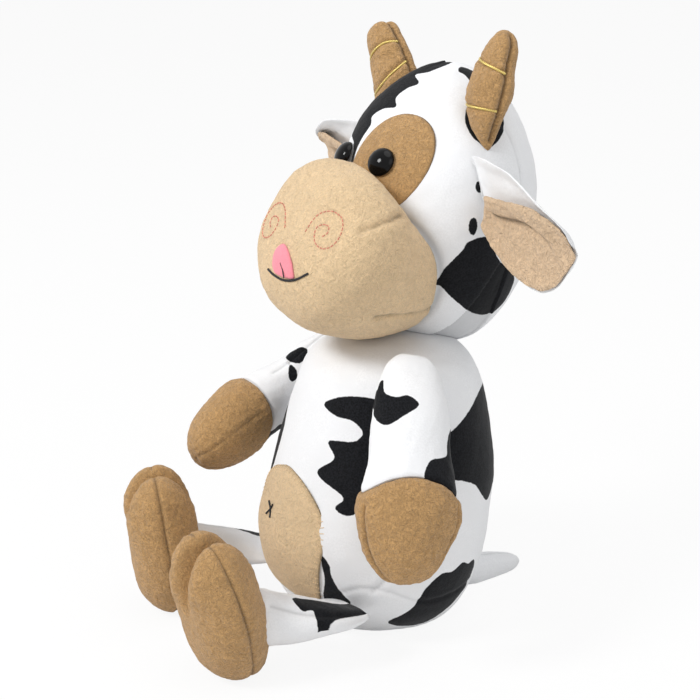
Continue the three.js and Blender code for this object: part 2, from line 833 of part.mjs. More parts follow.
// The mitt's share of the arm: a round top edge and all below it.
function mittCutter(extra) {
  const cuff = new THREE.IcosahedronGeometry(mittRadius + extra, 2).translate(armHalfDepth, 0, -mittDrop);
  const below = block(overrun * 2, overrun * 2, overrun).translate([0, 0, -mittDrop - overrun / 2]);
  return solidOf(cuff).add(below);
}

function armParts(side, sign) {
  const seatDepth = shoulderSink + 2 * skin;
  const seat = bar(shoulderSeatRadius, seatDepth).rotate([0, 90, 0])
    .translate([seatDepth / 2 - shoulderSink + clearance, 0, 0]);
  const arm = sewn(armForm(side));
  const hollow = arm.hollow.subtract(inside(clearance + 2 * skin));
  const whole = arm.outer.subtract(inside(clearance)).add(seat).subtract(hollow);
  const sleeve = whole.subtract(mittCutter(clearance));
  const mitt = whole.intersect(mittCutter(0));
  const fill = arm.fill.subtract(inside(2 * clearance + 2 * skin));
  const holder = new THREE.Group();
  holder.rotation.x = radians(armPitch[side]);
  holder.add(
    part(`arm_sleeve_${side}`, mirrored(sleeve, sign), white),
    part(`arm_mitt_${side}`, mirrored(mitt, sign), tan),
    part(`arm_stuffing_${side}`, mirrored(fill, sign), filling),
  );
  const shoulder = shoulderHolder(side, sign);
  shoulder.add(holder);
  return shoulder;
}

// Legs and feet

function legForm(side) {
  return {
    spine: line(...legSpineShares[side].map(([across, ahead, up]) => (
      point(across, ahead, up).multiplyScalar(legLength)))),
    side: point(1, 0, 0),
    halfWidth: legHalfWidth,
    halfDepth: legHalfHeight,
    shares: legShares,
    fine: [10, 14],
    coarse: [7, 10],
  };
}

// An outline puffed up on both sides, in the X-Z plane, standing on its heel.
function footGeometry() {
  const half = new THREE.CatmullRomCurve3(footOutlineShares.map(([across, up]) => (
    point(across * footHalfWidth, 0, up * footHeight)))).getSpacedPoints(footPoints / 2);
  const rim = [...half, ...half.slice(1, -1).map(({ x, z }) => point(-x, 0, z)).reverse()];
  const middle = point(0, 0, footMiddleShare * footHeight);
  const count = rim.length;
  const points = [...rim];
  const levels = footPuffShares.slice(1, -1);
  for (const face of [-1, 1]) {
    for (const [spread, puff] of levels) {
      points.push(...rim.map((spot) => middle.clone().lerp(spot, spread)
        .add(point(0, face * puff * footHalfDepth, 0))));
    }
    points.push(middle.clone().add(point(0, face * footHalfDepth, 0)));
  }
  const perFace = levels.length * count + 1;
  const faces = [];
  for (const [index, face] of [-1, 1].entries()) {
    const start = count + index * perFace;
    const ring = (level, i) => (level === 0 ? i % count : start + (level - 1) * count + (i % count));
    const tri = (a, b, c) => (face < 0 ? faces.push(a, b, c) : faces.push(a, c, b));
    for (let i = 0; i < count; i += 1) {
      for (let level = 0; level < levels.length; level += 1) {
        tri(ring(level, i), ring(level, i + 1), ring(level + 1, i + 1));
        tri(ring(level, i), ring(level + 1, i + 1), ring(level + 1, i));
      }
      tri(ring(levels.length, i), ring(levels.length, i + 1), start + perFace - 1);
    }
  }
  const geometry = new THREE.BufferGeometry().setFromPoints(points);
  geometry.setIndex(faces);
  return geometry;
}

// The cleft between the two toes, cut less deep for a skin that is further out.
function notch(distance) {
  const half = point(notchWidth / 2, footHalfDepth * 2, notchDepth);
  const cleft = new THREE.SphereGeometry(1, 12, 10)
    .scale(half.x - distance, half.y - distance, half.z - distance)
    .translate(0, 0, footHeight);
  return solidOf(cleft);
}

function legParts(side, sign) {
  const hip = hipHolder(sign);
  const leg = sewn(legForm(side));
  const foot = footGeometry();
  const stance = new THREE.Object3D();
  stance.position.set(-footInset[side], -footReach[side], -hip.position.z - flatDepth);
  stance.rotation.set(radians(footTilt[side]), 0, -radians(footTurn[side]), 'ZXY');
  const onFloor = (distance) => (
    placed(solidOf(offset(foot, distance)).subtract(notch(distance)), stance));
  const floor = belowFloor.translate([0, 0, -hip.position.z]);
  const shoe = onFloor(0);
  const room = onFloor(clearance);
  const sleeve = leg.outer.subtract(leg.hollow).add(legRoot(0)).subtract(room).subtract(floor);
  const shell = shoe.subtract(onFloor(-skin)).subtract(leg.hollow).subtract(floor);
  const fill = onFloor(-skin - clearance).add(leg.fill)
    .subtract(legRoot(clearance))
    .subtract(floor.translate([0, 0, skin + clearance]));
  hip.add(
    part(`leg_sleeve_${side}`, mirrored(sleeve, sign), white),
    part(`foot_${side}`, mirrored(shell, sign), tan),
    part(`leg_stuffing_${side}`, mirrored(fill, sign), filling),
  );
  return hip;
}

// Tail

const tailForm = {
  spine: line(point(0, 0, 0), point(0, tailLength / 2, -tailHalfWidth / 4), point(0, tailLength, -tailHalfWidth / 3)),
  side: point(1, 0, 0),
  halfWidth: tailHalfWidth,
  halfDepth: tailHalfWidth,
  shares: tailShares,
  fine: [9, 14],
};

function tailPart() {
  const holder = tailHolder();
  const ball = solidOf(new THREE.SphereGeometry(tailRootRadius, 12, 8));
  const tail = solidOf(formGeometry(tailForm, tailForm.fine)).add(ball);
  holder.add(part('tail', tail, white));
  return holder;
}

function headGroup() {
  const head = new THREE.Group();
  head.position.set(0, torsoLean, torsoHeight);
  head.rotation.set(0, radians(headTilt), radians(headTurn), 'ZYX');
  head.add(...headParts(), eyePatch(), tonguePanel(), mouthStitch());
  for (const [side, sign] of sides) {
    head.add(eyeParts(side, sign), ...hornParts(side, sign), earParts(side, sign), nostrilStitch(side, sign));
  }
  return head;
}

const cow = new THREE.Group();
cow.add(...torsoParts(), bellyPatch(), navelStitch(), headGroup(), tailPart());
for (const [side, sign] of sides) {
  cow.add(armParts(side, sign), legParts(side, sign));
}

export default cow;
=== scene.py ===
"""Seated stuffed cow in short-pile cloth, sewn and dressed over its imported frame."""

import json
import math

import bmesh
import bpy
import numpy as np
from bpy.props import FloatProperty, FloatVectorProperty, PointerProperty
from bpy.types import Operator, Panel, PropertyGroup
from mathutils import Matrix, Vector


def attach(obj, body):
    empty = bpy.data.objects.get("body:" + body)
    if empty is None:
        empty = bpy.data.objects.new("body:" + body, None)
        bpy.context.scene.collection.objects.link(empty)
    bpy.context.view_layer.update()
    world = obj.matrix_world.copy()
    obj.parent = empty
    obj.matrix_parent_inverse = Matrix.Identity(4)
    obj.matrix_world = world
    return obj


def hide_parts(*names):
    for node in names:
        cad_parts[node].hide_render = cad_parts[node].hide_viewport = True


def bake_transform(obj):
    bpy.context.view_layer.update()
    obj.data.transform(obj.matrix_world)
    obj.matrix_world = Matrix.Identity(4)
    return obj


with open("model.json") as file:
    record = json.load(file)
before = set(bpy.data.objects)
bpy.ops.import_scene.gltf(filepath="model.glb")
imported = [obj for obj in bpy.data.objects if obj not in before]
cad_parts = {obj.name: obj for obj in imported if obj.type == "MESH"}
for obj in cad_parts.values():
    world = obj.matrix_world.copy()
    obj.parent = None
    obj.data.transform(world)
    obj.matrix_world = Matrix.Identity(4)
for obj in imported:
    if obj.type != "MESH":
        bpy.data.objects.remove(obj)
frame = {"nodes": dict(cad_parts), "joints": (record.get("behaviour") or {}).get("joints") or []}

bl_info = {
    "name": "Stuffed cow",
    "version": (1, 0, 0),
    "blender": (4, 5, 0),
    "location": "View3D > Sidebar > Stuffed cow",
    "description": "Sews a seated stuffed cow over its packed frame",
    "category": "Object",
}

MM = 0.001
SIDES = (("left", 1), ("right", -1))
MIRROR = np.array([-1.0, 1.0, 1.0])
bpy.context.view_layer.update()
JOINTS = {joint["name"]: joint for joint in frame["joints"]}


def tint(code):
    """Linear colour of a six-figure colour code."""
    parts = [int(code[i : i + 2], 16) / 255 for i in (0, 2, 4)]
    return tuple(p / 12.92 if p <= 0.04045 else ((p + 0.055) / 1.055) ** 2.4 for p in parts)


# Measures of the forms, in millimetres and degrees

TORSO_HEIGHT = 155
TORSO_RADIUS = 60.5
TORSO_LEAN = 7
TORSO_SHARES = [
    (0, 0), (0.0005, 0.24), (0.003, 0.5), (0.022, 0.635), (0.052, 0.735), (0.103, 0.84),
    (0.168, 0.915), (0.245, 0.972), (0.34, 1), (0.48, 0.985), (0.62, 0.925), (0.75, 0.85),
    (0.85, 0.775), (0.91, 0.7), (0.955, 0.57), (0.985, 0.385), (1, 0),
]
LEAN_SHARES = [(0, 0), (0.3, -0.2), (0.55, 0.6), (0.78, 1), (0.9, 1), (1, 1)]

BELLY_HALF_WIDTH = 33
BELLY_TOP = 91
BELLY_BOTTOM = 23
BELLY_SHARES = [
    (0, 1), (0.26, 0.94), (0.52, 0.82), (0.78, 0.62), (0.96, 0.34), (1, 0.12), (1, -0.1),
    (0.95, -0.45), (0.86, -0.82), (0.76, -1), (0, -1),
]

CRANIUM_RADIUS = 53.5
CRANIUM_HALF_HEIGHT = 73.5
CRANIUM_RISE = 58.5
CRANIUM_BACK_SHARES = [(-1, 0.68), (0, 0.69), (0.35, 0.76), (0.7, 0.88), (1, 0.95)]
CRANIUM_SHARES = [
    (0, 0), (0.012, 0.17), (0.06, 0.44), (0.14, 0.67), (0.25, 0.84), (0.38, 0.95), (0.5, 1),
    (0.62, 0.965), (0.75, 0.84), (0.86, 0.65), (0.94, 0.43), (0.985, 0.21), (1, 0),
]
MUZZLE_HALF_WIDTH = 43.5
MUZZLE_HALF_HEIGHT = 43
MUZZLE_LENGTH = 92
MUZZLE_PITCH = -22
MUZZLE_SAG = 7.5
MUZZLE_FRONT = 58.5
MUZZLE_RISE = 65.5
MUZZLE_SHARES = [
    (0, 0), (0.01, 0.3), (0.08, 0.56), (0.22, 0.78), (0.4, 0.92), (0.55, 0.98), (0.7, 1),
    (0.83, 0.93), (0.93, 0.75), (0.985, 0.44), (1, 0),
]

# Sewn details of the front: lines across and up, with widths and depths of creases

MUZZLE_DARTS = [
    (
        [(33.8, -48.4, 64.9), (37.1, -42.2, 66.4), (38.3, -33, 68), (37.4, -25.3, 69.2),
         (36.1, -18.4, 68.4)],
        1.5, 1.5,
    ),
    ([(30.8, -38.6, 19.6), (32.6, -30.7, 19.3), (32.9, -17, 17.7), (29.3, 1.8, 15.6)], 1.5, 1.4),
]
TEMPLE_SEAM = [(84, 112), (96, 96), (100, 80), (100, 60), (94, 40)]
MOUTH_DIMPLE = ([(14.6, -60, 45.4), (16.6, -59.4, 41), (14.5, -58, 34), (11, -55, 28)], 1.8, 1.1)
UNDER_EYE_PULL = 15.0
FAR_SIDE_SWELL = 4.2
CROWN_BULGE = 3.4
NOSTRIL = [
    (6.5, 63.8), (8.3, 68.2), (11.3, 72), (17.1, 73.7), (22.6, 71.8), (26, 68), (26.8, 62.4),
    (24.6, 58.7), (20.3, 57.4), (15.7, 59.1), (12.9, 63.3), (13, 66.4), (16.7, 67.8), (19.5, 66.9),
    (20.1, 64.3), (17.4, 62.3),
]
NOSTRIL_SHIFT = {"left": 0.0, "right": 3.0}
NOSTRIL_STEP = 2.0
NOSTRIL_STITCH = 1.35
NOSTRIL_END = 1.3
MOUTH = [(-14, 44), (-8.4, 42), (-1.9, 40.7), (4.5, 41), (9.5, 42.8), (14.6, 45.4)]
TONGUE_OUTLINE = [
    (6, 42.3), (5, 46), (2.8, 50.5), (-1.3, 54.9), (-6, 57), (-9.4, 55.2), (-11, 51.5),
    (-10.7, 47), (-8.2, 43.5), (-1.2, 41.8),
]
TONGUE_MIDDLE = (-3.5, 49.0)
TONGUE_STITCH = [(-2.9, 48.5), (-0.8, 45.4), (0.9, 41.8)]
NAVEL = (-7, 66)
NAVEL_HALF_SIZE = (2.8, 3.5)
BELLY_STITCH_STEP = 3.1
BELLY_STITCH_SPOTS = (-2.3, -1.1, 0.0)
BELLY_STITCH_LOWEST = -32
THREAD_RADII = {"belly": 0.2, "navel": 0.5, "tongue": 0.3, "horn": 0.72}


# Eyes, horns, ears, limbs and tail

EYE_DIAMETER = 15
EYE_HEIGHT = 4.7
EYE_BACK = 1.1
EYE_RIM = 1.0
SHANK_RADIUS = 2
SHANK_LENGTH = 9
SHANK_RISE = -4.2
EYE_ACROSS = {"left": 8, "right": -23.6}
EYE_RISE = 88.5
EYE_LIFT = {"left": 1.3, "right": 0.9}
EYE_PATCH_PLACE = (8.2, 88)
EYE_PATCH_HALF_SIZE = (22.6, 23.5)

HORN_LENGTH = 60
HORN_HALF_WIDTH = 13
HORN_HALF_DEPTH = 11
HORN_PLACE = {"left": (43.5, 31, 92), "right": (-33, 55.5, 93)}
HORN_TILT = {"left": 1, "right": 20}
HORN_PITCH = {"left": 14, "right": 2}
HORN_SPINE = [(0, 0, 0), (-0.03, -0.03, 0.34), (-0.01, -0.01, 0.68), (0.04, 0.02, 1)]
HORN_SHARES = {
    "left": [
        (0, 0), (0.02, 0.12), (0.12, 0.4), (0.23, 0.66), (0.38, 0.88), (0.55, 0.93), (0.67, 0.85),
        (0.75, 0.75), (0.84, 0.66), (0.94, 0.48), (0.985, 0.28), (1, 0),
    ],
    "right": [
        (0, 0), (0.01, 0.5), (0.05, 0.84), (0.15, 1.06), (0.35, 1.12), (0.55, 1.02), (0.75, 0.86),
        (0.9, 0.72), (0.965, 0.58), (0.99, 0.36), (1, 0),
    ],
}

EAR_LENGTH = 59
EAR_HALF_WIDTH = 23
EAR_CUP = 6
EAR_STAND_OFF = 4
EAR_FORWARD = {"left": 18, "right": 47}
EAR_RISE = {"left": 65, "right": 74}
EAR_TILT = {"left": 16, "right": -3}
EAR_TURN = {"left": 0, "right": 20}
EAR_TWIST = {"left": 6, "right": 24}
EAR_SHARES = [
    (0, 1.18, 0.3), (0.12, 1.33, 0.52), (0.28, 1.29, 0.78), (0.45, 1.15, 0.97), (0.6, 0.97, 1.06),
    (0.75, 0.8, 1.06), (0.88, 0.63, 0.84), (0.96, 0.42, 0.46), (1, 0.2, 0.17),
]
EAR_LINING_SHARES = [0.36, 0.38, 0.47, 0.62, 0.77, 0.85, 0.86, 0.86, 0.86]
EAR_LINING_WIDTH = 0.93
EAR_TIP = 0.93
EAR_ROOT = 0.04
EAR_GROOVE = [
    (0.8, 5.2), (7.3, 2.4), (16.5, 3.5), (26.7, 6), (35.2, 5.5), (42.1, 2.5), (46.4, -0.5),
]
EAR_SPOTS = {
    "left": [[(30, 9), (33, 14), (38, 12), (36, 7)], [(26, -20), (30, -17), (34, -21), (29, -25)]],
    "right": [],
}

HORN_BANDS = {
    "left": {
        "lower": [(0.4, -205), (0.38, -165), (0.36, -134), (0.345, -80), (0.332, -22)],
        "upper": [(0.76, -205), (0.74, -165), (0.72, -134), (0.69, -80), (0.655, -22)],
    },
    "right": {
        "lower": [(0.38, 15), (0.38, -30), (0.42, -80), (0.49, -125), (0.56, -170)],
        "upper": [(0.7, 15), (0.71, -30), (0.75, -80), (0.77, -125), (0.75, -170)],
    },
}
HORN_SEAM = {"left": (-17, 0.1, 0.93), "right": (-176, 0.5, 0.97)}

SHOULDER_BEARING = 20
SHOULDER_TILT = 21
SHOULDER_TOP = 26
ARM_LENGTH = {"left": 113, "right": 107}
ARM_HALF_WIDTH = 25
ARM_HALF_DEPTH = 17.5
ARM_ROUND = 22
ARM_PITCH = {"left": -7, "right": -50}
ARM_SPINE = {
    "left": [(0.52, 0, 0), (0.66, 0, 0.3), (1.03, 0, 0.62), (0.95, 0, 1)],
    "right": [(0.52, 0, 0), (0.66, 0.75, 0.3), (1.03, 0.48, 0.62), (0.95, 0, 1)],
}
ARM_SHARES = {
    "left": [
        (0, 0, 0), (0.01, 0.3, 0.3), (0.06, 0.52, 0.58), (0.16, 0.68, 0.78), (0.3, 0.78, 0.8),
        (0.45, 0.83, 0.8), (0.58, 0.92, 0.9), (0.72, 1, 1), (0.85, 0.88, 0.9),
        (0.94, 0.62, 0.66), (0.99, 0.3, 0.33), (1, 0, 0),
    ],
    "right": [
        (0, 0, 0), (0.01, 0.34, 0.3), (0.06, 0.6, 0.58), (0.16, 0.88, 0.78), (0.3, 1, 0.8),
        (0.45, 0.95, 0.8), (0.58, 0.84, 0.9), (0.72, 0.86, 1), (0.85, 0.78, 0.9),
        (0.94, 0.56, 0.66), (0.99, 0.28, 0.33), (1, 0, 0),
    ],
}
MITT_RADIUS = 27.5
MITT_DROP = 57.3
MITT_SWELL = 1.3
MITT_TRIM = {"left": 3.0, "right": 0.0}
MITT_SEAM = {"left": (24, 1.3), "right": (-50, 0.4)}
CUFF_SHARE = 0.1

HIP_TURN = 36
LEG_LENGTH = 58
LEG_HALF_WIDTH = 16
LEG_HALF_HEIGHT = 15
LEG_SPINE = {
    "left": [(0, 0, 0), (-0.08, -0.25, 0.02), (-0.34, -0.52, 0.06), (-0.66, -0.72, 0.12)],
    "right": [(0, 0, 0), (-0.05, -0.25, 0.02), (-0.19, -0.56, 0.06), (-0.36, -0.88, 0.12)],
}
LEG_SHARES = [
    (0, 0, 0), (0.01, 0.6, 0.14), (0.03, 0.9, 0.22), (0.07, 1, 0.265), (0.2, 0.98, 0.42),
    (0.45, 0.9, 0.68), (0.7, 0.86, 0.88), (0.9, 0.84, 0.98), (0.97, 0.6, 0.7), (1, 0, 0),
]
FOOT_HEIGHT = 80
FOOT_HALF_WIDTH = 25.5
FOOT_HALF_DEPTH = 19
FOOT_REACH = {"left": 41.5, "right": 51}
FOOT_INSET = {"left": 42, "right": 24}
FOOT_TURN = {"left": 32, "right": 18}
FOOT_TILT = {"left": 14, "right": 7}
FOOT_MIDDLE = 0.4
FOOT_OUTLINE = [
    (0, 0), (0.3, 0.015), (0.62, 0.08), (0.88, 0.22), (1, 0.42), (0.97, 0.6), (0.88, 0.78),
    (0.7, 0.93), (0.42, 1), (0, 1),
]
FOOT_PUFF = [(0, 1), (0.5, 0.92), (0.8, 0.66), (0.95, 0.34), (1, 0)]
TOE_NOTCH = (3.4, 15)
TOE_GROOVE = (4.2, 0.62)
TOE_BULGE = (12, 7, 0.16)

FLOOR_GAP = 0.1
PRESSED_SHARE = 0.02

TAIL_LENGTH = 49
TAIL_HALF_WIDTH = 9.4
TAIL_LIFT = 0.00015
TAIL_SHARES = [
    (0, 0), (0.02, 0.45), (0.1, 0.8), (0.3, 1), (0.55, 0.9), (0.8, 0.66), (0.95, 0.36), (1, 0),
]


# Points round each piece's mesh and from end to end, and how far the nap of each cloth rises

GRIDS = {
    "torso": (320, 220), "belly": (160, 80), "head": (320, 220), "muzzle": (300, 210),
    "tongue": (64, 32), "eye_patch": (144, 72), "eye": (64, 40), "horn": (150, 130),
    "ear": (150, 100), "arm": (190, 170), "foot": (220, 150), "leg": (112, 90), "tail": (80, 72),
}
NAP = {"pile": 0.08, "belly": 0.12, "muzzle": 0.16, "horn": 0.24, "tan": 0.26, "lining": 0.3}


# Lamps as place, size and power, and the camera, in metres, watts and degrees

LAMPS = {
    "key_lamp": ((-0.05, -1.3, 1.25), 0.5, 18.0),
    "fill_lamp": ((1.35, 0.45, 0.9), 1.1, 3.0),
    "top_lamp": ((0.1, 0.2, 1.6), 1.2, 6.5),
}
LIT_SPOT = (0, 0, 0.15)
WORLD_STRENGTH = 0.52
CAMERA_PLACE = (0.7567, -0.4533, 0.4488)
CAMERA_TURN = (71, 0, 60)
CAMERA_LENS = 92.57
CAMERA_SENSOR = 36


# Black patches: outlines as (bearing or distance round, height) on each form

TORSO_PATCHES = [
    [(17, 127), (24, 131), (40, 134), (58, 133), (74, 128), (78, 112), (72, 98), (60, 90), (56, 97),
     (50, 82), (48, 77), (43, 76), (37, 79), (41, 84), (22, 94), (32, 103), (26, 110), (44, 113),
     (47, 117), (40, 122), (28, 123)],
    [(148, 127), (134, 126), (121, 122), (106, 116), (92, 110), (90, 98), (98, 92), (110, 88),
     (120, 83), (127, 76), (135, 70), (150, 74), (163, 66), (176, 78), (186, 96), (180, 114),
     (165, 124)],
    [(127, 40), (121, 40), (115, 43), (108, 40), (100, 41), (91, 35), (83, 23), (70, 15), (78, 10),
     (98, 7), (119, 16), (132, 24)],
    [(34, 54), (39, 49), (40, 43), (44, 34), (49, 27), (42, 23), (33, 24), (36, 41)],
    [(-33, 113), (-25, 106), (-22, 97), (-22, 84), (-27, 77), (-40, 83), (-52, 92), (-56, 106),
     (-44, 114)],
    [(-100, 60), (-112, 70), (-130, 66), (-146, 74), (-158, 60), (-150, 44), (-128, 36), (-118, 46),
     (-104, 42), (-92, 50)],
    [(-70, 26), (-62, 34), (-76, 42), (-90, 30), (-84, 18), (-74, 18)],
    [(-150, 118), (-164, 126), (-182, 122), (-176, 108), (-160, 106)],
]
CROWN_PATCHES = [
    [(-17, 86), (-20, 92), (-20, 98), (-18, 104), (-23, 107), (-17, 111), (-3, 113.5), (-11, 117),
     (-7, 121.5), (5, 124), (-20, 127), (5, 129), (60, 131.3), (100, 131.5), (170, 131),
     (-150, 128), (-120, 123), (-95, 112), (-76, 106), (-62, 98), (-48, 99), (-44, 97), (-30, 95),
     (-24, 92),
     (-21, 87)],
    [(69, 116.5), (62, 111), (61, 106), (65, 100), (70, 96.5), (75, 93.5), (84, 96), (92, 101),
     (96, 108), (90, 115), (80, 119)],
    [(71, 128.5), (77, 127), (78, 124.5), (77, 121), (90, 119), (104, 123), (104, 128), (88, 130)],
    [(150, 104), (166, 112), (-176, 108), (-168, 94), (176, 84), (158, 88), (146, 94)],
]
HEAD_PATCHES = [
    [(43, 31), (47, 37), (56, 46), (58, 49.5), (69, 51), (78, 38), (90, 30), (101, 22), (103, 12),
     (90, 5), (69, 8), (53, 18), (44, 26), (40, 28)],
    [(63, 79), (65.5, 78), (66.5, 74.5), (64, 73.5), (62, 75.5)],
    [(59, 61), (61.5, 62), (63, 57.5), (61, 53), (58.5, 55.5)],
    [(-62, 30), (-70, 40), (-86, 44), (-104, 36), (-112, 20), (-98, 10), (-84, 14), (-70, 8),
     (-58, 18)],
    [(-128, 62), (-140, 74), (-154, 68), (-150, 52), (-136, 46), (-126, 52)],
]
ARM_PATCHES = {
    "left": [
        [(70, 8), (62, 12), (58, 6), (49, 4), (40, 5), (32, 1), (44, -5), (57, -10), (68, -4),
         (76, 2)],
        [(4, -10), (9, -17), (11, -23), (24, -26), (29, -33), (26, -37), (17, -43), (6, -52),
         (-12, -54), (-26, -34), (-24, -20), (-10, -14)],
    ],
    "right": [
        [(16, -28), (22, -40), (12, -50), (-10, -52), (-24, -46), (-28, -36), (-14, -31), (2, -28)],
        [(64, -7), (66, 0), (70, 2), (74, -1), (73, -7), (68, -9)],
        [(-67, -10), (-63, -10), (-59, -13), (-59, -16), (-63, -15)],
    ],
}
LEG_PATCHES = {
    "left": [
        [(-17, 31), (-12, 22), (-2, 12), (3, -2), (12, -4), (12, 8), (5, 24), (-1, 34), (-6, 30),
         (-10, 34)],
    ],
    "right": [[(2, 10), (12, 6), (16, 18), (10, 30), (2, 24)]],
}


# Numbers on curves and surfaces


def unit(vectors):
    """Vectors of length one."""
    length = np.linalg.norm(vectors, axis=-1, keepdims=True)
    return vectors / np.maximum(length, 1e-9)


def smooth_step(values, low, high):
    """Runs from 0 at low to 1 at high without a corner."""
    share = np.clip((values - low) / (high - low), 0, 1)
    return share * share * (3 - 2 * share)


def bell(values, middle, width):
    """Rises to 1 at the middle and dies away over a width."""
    return np.exp(-(((values - middle) / width) ** 2))


def pressed(values, limit):
    """Values that are all but stopped where they fall below a limit."""
    return np.where(values < limit, limit + PRESSED_SHARE * (values - limit), values)


def curve_through(points, steps=40, closed=False):
    """Points of a smooth line through the given ones, steps to a span."""
    points = np.array(points, float)
    if closed:
        points = np.vstack([points[-1:], points, points[:2]])
    else:
        points = np.vstack([2 * points[0] - points[1], points, 2 * points[-1] - points[-2]])
    run = np.linspace(0, 1, steps, endpoint=False)[:, None]
    line = []
    for a, b, c, d in zip(points, points[1:], points[2:], points[3:]):
        gaps = [math.sqrt(np.linalg.norm(q - p)) for p, q in ((a, b), (b, c), (c, d))]
        middle = gaps[1] if gaps[1] > 1e-4 else 1.0
        first = gaps[0] if gaps[0] > 1e-4 else middle
        last = gaps[2] if gaps[2] > 1e-4 else middle
        leave = ((b - a) / first - (c - a) / (first + middle) + (c - b) / middle) * middle
        reach = ((c - b) / middle - (d - b) / (middle + last) + (d - c) / last) * middle
        line.append(
            b + leave * run + (3 * (c - b) - 2 * leave - reach) * run**2
            + (2 * (b - c) + leave + reach) * run**3
        )
    line.append(points[-2:-1])
    return np.vstack(line)


def run_along(line):
    """How far along the line each of its points is, from 0 to 1, and the line's length."""
    steps = np.linalg.norm(np.diff(line, axis=0), axis=1)
    run = np.concatenate([[0], np.cumsum(steps)])
    return run / run[-1], run[-1]


def columns(where, knots, table):
    """Each column of a table read between its rows."""
    return np.stack([np.interp(where, knots, column) for column in table.T], axis=-1)


class Form:
    """A stuffed shape of elliptical rings that swells and tapers along a line."""

    def __init__(self, spine, side, shares, half_width, half_depth, ring_axis=None):
        path = curve_through(spine)
        run, length = run_along(path)
        rows = [(row[0] * length, row[1] * half_width, row[-1] * half_depth) for row in shares]
        profile = curve_through(rows)
        self.share, self.length = run_along(profile)
        self.along = np.clip(profile[:, 0] / length, 0, 1)
        self.width = np.maximum(profile[:, 1], 0)
        self.depth = np.maximum(profile[:, 2], 0)
        self.centre = columns(self.along, run, path)
        forward = unit(np.gradient(path, axis=0))
        if ring_axis is not None:
            forward = np.tile(np.array(ring_axis, float), (len(path), 1))
        forward = unit(columns(self.along, run, forward))
        side = np.array(side, float)
        self.across = unit(side - forward * (forward @ side)[:, None])
        self.up = np.cross(forward, self.across)
        self.axis = unit(path[-1] - path[0]) if ring_axis is None else np.array(ring_axis, float)
        self.start = path[0]
        self.reach = (path[-1] - path[0]) @ self.axis
        self.level = np.maximum.accumulate((self.centre - path[0]) @ self.axis / self.reach)

    def at(self, height):
        """Shares of the skin's length at heights, for an upright form."""
        return np.interp((np.asarray(height) - self.start[2]) / self.reach, self.level, self.share)

    def ring(self, share):
        """Centre, across, up, width and depth at shares of the skin's length."""
        values = [columns(share, self.share, t) for t in (self.centre, self.across, self.up)]
        return values + [np.interp(share, self.share, t) for t in (self.width, self.depth)]

    def surface(self, share, angle):
        """Points of the skin."""
        centre, across, up, width, depth = self.ring(share)
        return (
            centre
            + across * (width * np.cos(angle))[..., None]
            + up * (depth * np.sin(angle))[..., None]
        )

    def excess(self, points, gap=0.0):
        """Below zero inside the skin, above zero outside."""
        along = (points - self.start) @ self.axis / self.reach
        centre, across, up, width, depth = self.ring(np.interp(along, self.level, self.share))
        offset = points - centre
        a = np.sum(offset * across, axis=-1) / np.maximum(width + gap, 1e-6)
        b = np.sum(offset * up, axis=-1) / np.maximum(depth + gap, 1e-6)
        value = np.hypot(a, b) - 1
        room = gap / self.reach
        return np.where((along < -room) | (along > 1 + room), 1.0, value)

    def clearance(self, points):
        """About how many millimetres outside the skin each point lies."""
        along = (points - self.start) @ self.axis / self.reach
        share = np.interp(along, self.level, self.share)
        return self.excess(points) * np.interp(share, self.share, (self.width + self.depth) / 2)

    def push_out(self, points, gap, low=0.3, high=0.7):
        """Moves the points that lie inside the skin straight out of it."""
        inner = self.excess(points, gap) < 0
        if not inner.any():
            return points
        caught = points[inner]
        along = np.clip((caught - self.start) @ self.axis / self.reach, low, high)
        core = columns(np.interp(along, self.level, self.share), self.share, self.centre)
        moved = points.copy()
        near = np.linalg.norm(caught - core, axis=-1)
        moved[inner] = self.leave(core, unit(caught - core), near, gap)
        return moved

    def slide_out(self, points, gap, direction):
        """Moves the points that lie inside the skin out of it in one direction."""
        inner = self.excess(points, gap) < 0
        if not inner.any():
            return points
        moved = points.copy()
        moved[inner] = self.leave(points[inner], direction, np.zeros(inner.sum()), gap)
        return moved

    def leave(self, start, direction, near, gap):
        """Where lines that start inside the skin come out of it."""
        far = near + 160.0
        for _ in range(24):
            middle = (near + far) / 2
            outside = self.excess(start + direction * middle[:, None], gap) > 0
            far = np.where(outside, middle, far)
            near = np.where(outside, near, middle)
        return start + direction * far[:, None]


def placed(*steps):
    """One matrix from a place and then turns, as ('X', degrees) pairs."""
    matrix = Matrix.Identity(4)
    for step in steps:
        if isinstance(step[0], str):
            matrix = matrix @ Matrix.Rotation(math.radians(step[1]), 4, step[0])
        else:
            matrix = matrix @ Matrix.Translation(step)
    return np.array(matrix)


def carry(points, matrix):
    """Points moved by a matrix."""
    return points @ matrix[:3, :3].T + matrix[:3, 3]


def bring_back(points, matrix):
    """Points in the matrix's own frame."""
    return carry(points, np.linalg.inv(matrix))


def joint_place(name):
    """Where a joint turns, in millimetres."""
    return [v / MM for v in JOINTS[name]["pos_m"]]


